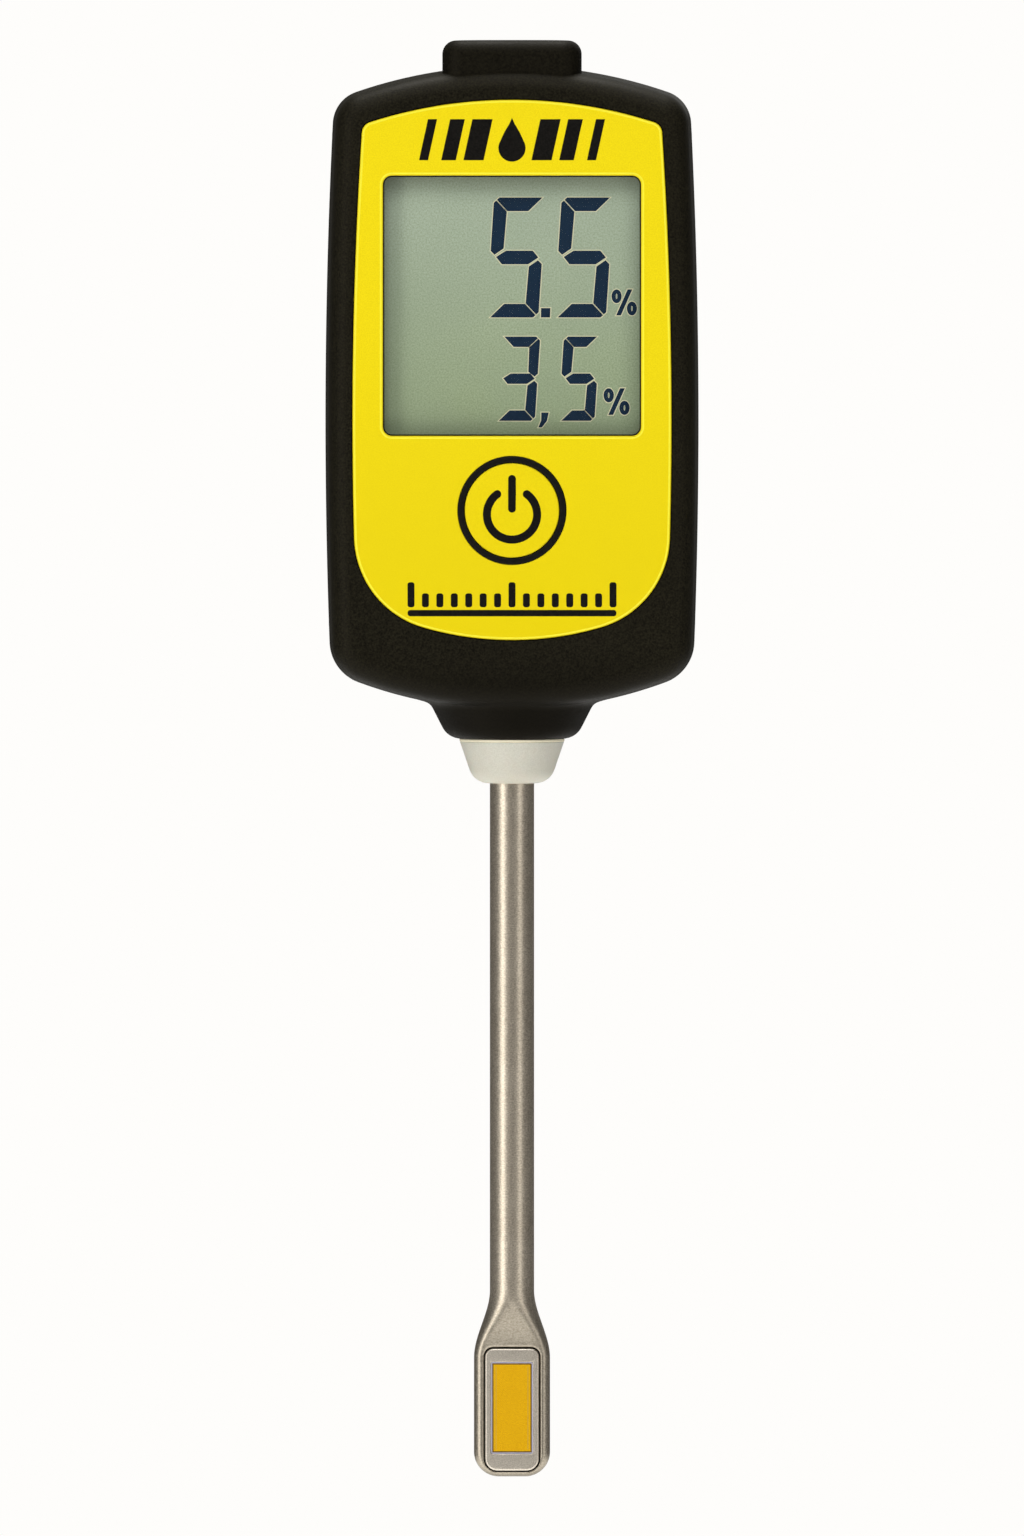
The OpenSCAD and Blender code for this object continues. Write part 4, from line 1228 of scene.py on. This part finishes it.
def make_rating_plate():
    """The blank silver plate on the back. The plate() builder faces -Y, so it is turned to face +Y."""
    def loops(i):
        return [round_rect(PLATE.size[0] - 2 * i, PLATE.size[2] - 2 * i, 1.5 - i, z=PLATE.mid[2])]
    blank = plate("rating_plate_blank", loops, -PLATE.high[1], -PLATE.low[1], 0.05)
    for vertex in blank.data.vertices:
        vertex.co.y = -vertex.co.y
    clean(blank.data)
    settle(blank, "rating_plate", "rating_plate")


def finish_cad_nodes():
    """Every CAD node that stays gets the finish of its slot."""
    for name, obj in frame["nodes"].items():
        obj.data.materials.clear()
        obj.data.materials.append(FINISH[SLOT_OF[name]])
        smooth(obj, 30)


# ------------------------------------------------------------------ stage, light and camera


def make_stage():
    """A pale round floor, well below the hanging tester."""
    radius, drop_by = 800, 250
    level = CAD_BOX[0][2] / MM - drop_by
    outline = circle(radius)
    floor = new_object("floor", [(x, y, level) for x, y in outline], [tuple(range(len(outline)))])
    m = Finish("floor_pale", srgb(250, 249, 246), 0.8)
    m.colour(m.mix(m.spread(m.noise(60.0)), srgb(248, 247, 244), srgb(252, 251, 249)))
    floor.data.materials.append(m.mat)


def make_world():
    """White as seen by the camera, softer grey as light."""
    world = bpy.data.worlds.new("studio")
    bpy.context.scene.world = world
    world.use_nodes = True
    tree = world.node_tree
    light, seen = tree.nodes["Background"], tree.nodes.new("ShaderNodeBackground")
    light.inputs["Color"].default_value = (1.0, 0.985, 0.96, 1)
    light.inputs["Strength"].default_value = 0.13
    seen.inputs["Color"].default_value = srgb(254, 253, 251)
    seen.inputs["Strength"].default_value = 1.0
    path, mix = tree.nodes.new("ShaderNodeLightPath"), tree.nodes.new("ShaderNodeMixShader")
    tree.links.new(path.outputs["Is Camera Ray"], mix.inputs[0])
    tree.links.new(light.outputs[0], mix.inputs[1])
    tree.links.new(seen.outputs[0], mix.inputs[2])
    tree.links.new(mix.outputs[0], tree.nodes["World Output"].inputs[0])


def soft_light(name, azimuth, distance, rise, width, height, power, colour=(1, 1, 1)):
    """A soft box aimed at the middle of the tester. Azimuth is in degrees from straight in front."""
    data = bpy.data.lights.new(name, "AREA")
    data.shape = "RECTANGLE"
    data.size, data.size_y = width, height
    data.energy = power
    data.color = colour
    lamp = add_object(name, data)
    middle = Vector((0, 0, (CAD_BOX[0][2] + CAD_BOX[1][2]) / 2))
    turn = math.radians(azimuth)
    lamp.location = middle + Vector((distance * math.sin(turn), -distance * math.cos(turn), rise))
    lamp.rotation_euler = (middle - lamp.location).to_track_quat("-Z", "Y").to_euler()


def make_lights():
    """Soft boxes left, right, above and behind, and a high room light."""
    soft_light("left_box", -49, 1.2, 0.1, 0.4, 1.3, 5.9, (1, 0.985, 0.96))
    soft_light("right_box", 42, 1.3, 0.1, 0.3, 1.2, 2.2, (1, 0.975, 0.94))
    soft_light("top_box", 0, 0.95, 1.2, 1.0, 0.7, 10.8)
    soft_light("back_box", 155, 1.2, 0.7, 0.9, 0.9, 2.0)
    sun = bpy.data.lights.new("room", "SUN")
    sun.energy = 3.1
    sun.angle = math.radians(28)
    add_object("room", sun).rotation_euler = (math.radians(-14), 0, 0)


def make_camera():
    """Straight in front, level with the display, aimed a little under the middle of the whole tester."""
    distance, sensor = 3.0, 36.0
    share, drop_share = 0.9352, 0.0063  # of the picture's height, and of the tester's
    low, high = CAD_BOX
    height = high[2] - low[2]
    data = bpy.data.cameras.new("camera")
    data.sensor_width = sensor
    data.lens = sensor * distance / (height / share)
    data.clip_start, data.clip_end = 0.05, 30
    camera = add_object("camera", data)
    aim = Vector((0.0, 0.0, (low[2] + high[2]) / 2 - drop_share * height))
    camera.location = (0.0, -distance, (WINDOW_Z + WINDOW_H / 4) * MM)
    camera.rotation_euler = (aim - camera.location).to_track_quat("-Z", "Y").to_euler()
    bpy.context.scene.camera = camera
    bpy.context.scene.view_settings.view_transform = "Standard"


make_camera()
make_world()
make_lights()
make_stage()
finish_cad_nodes()
make_housing()
make_lug()
make_cover()
make_screws()
make_label()
make_label_prints()
make_key()
make_display()
make_ferrule()
make_head()
make_rating_plate()
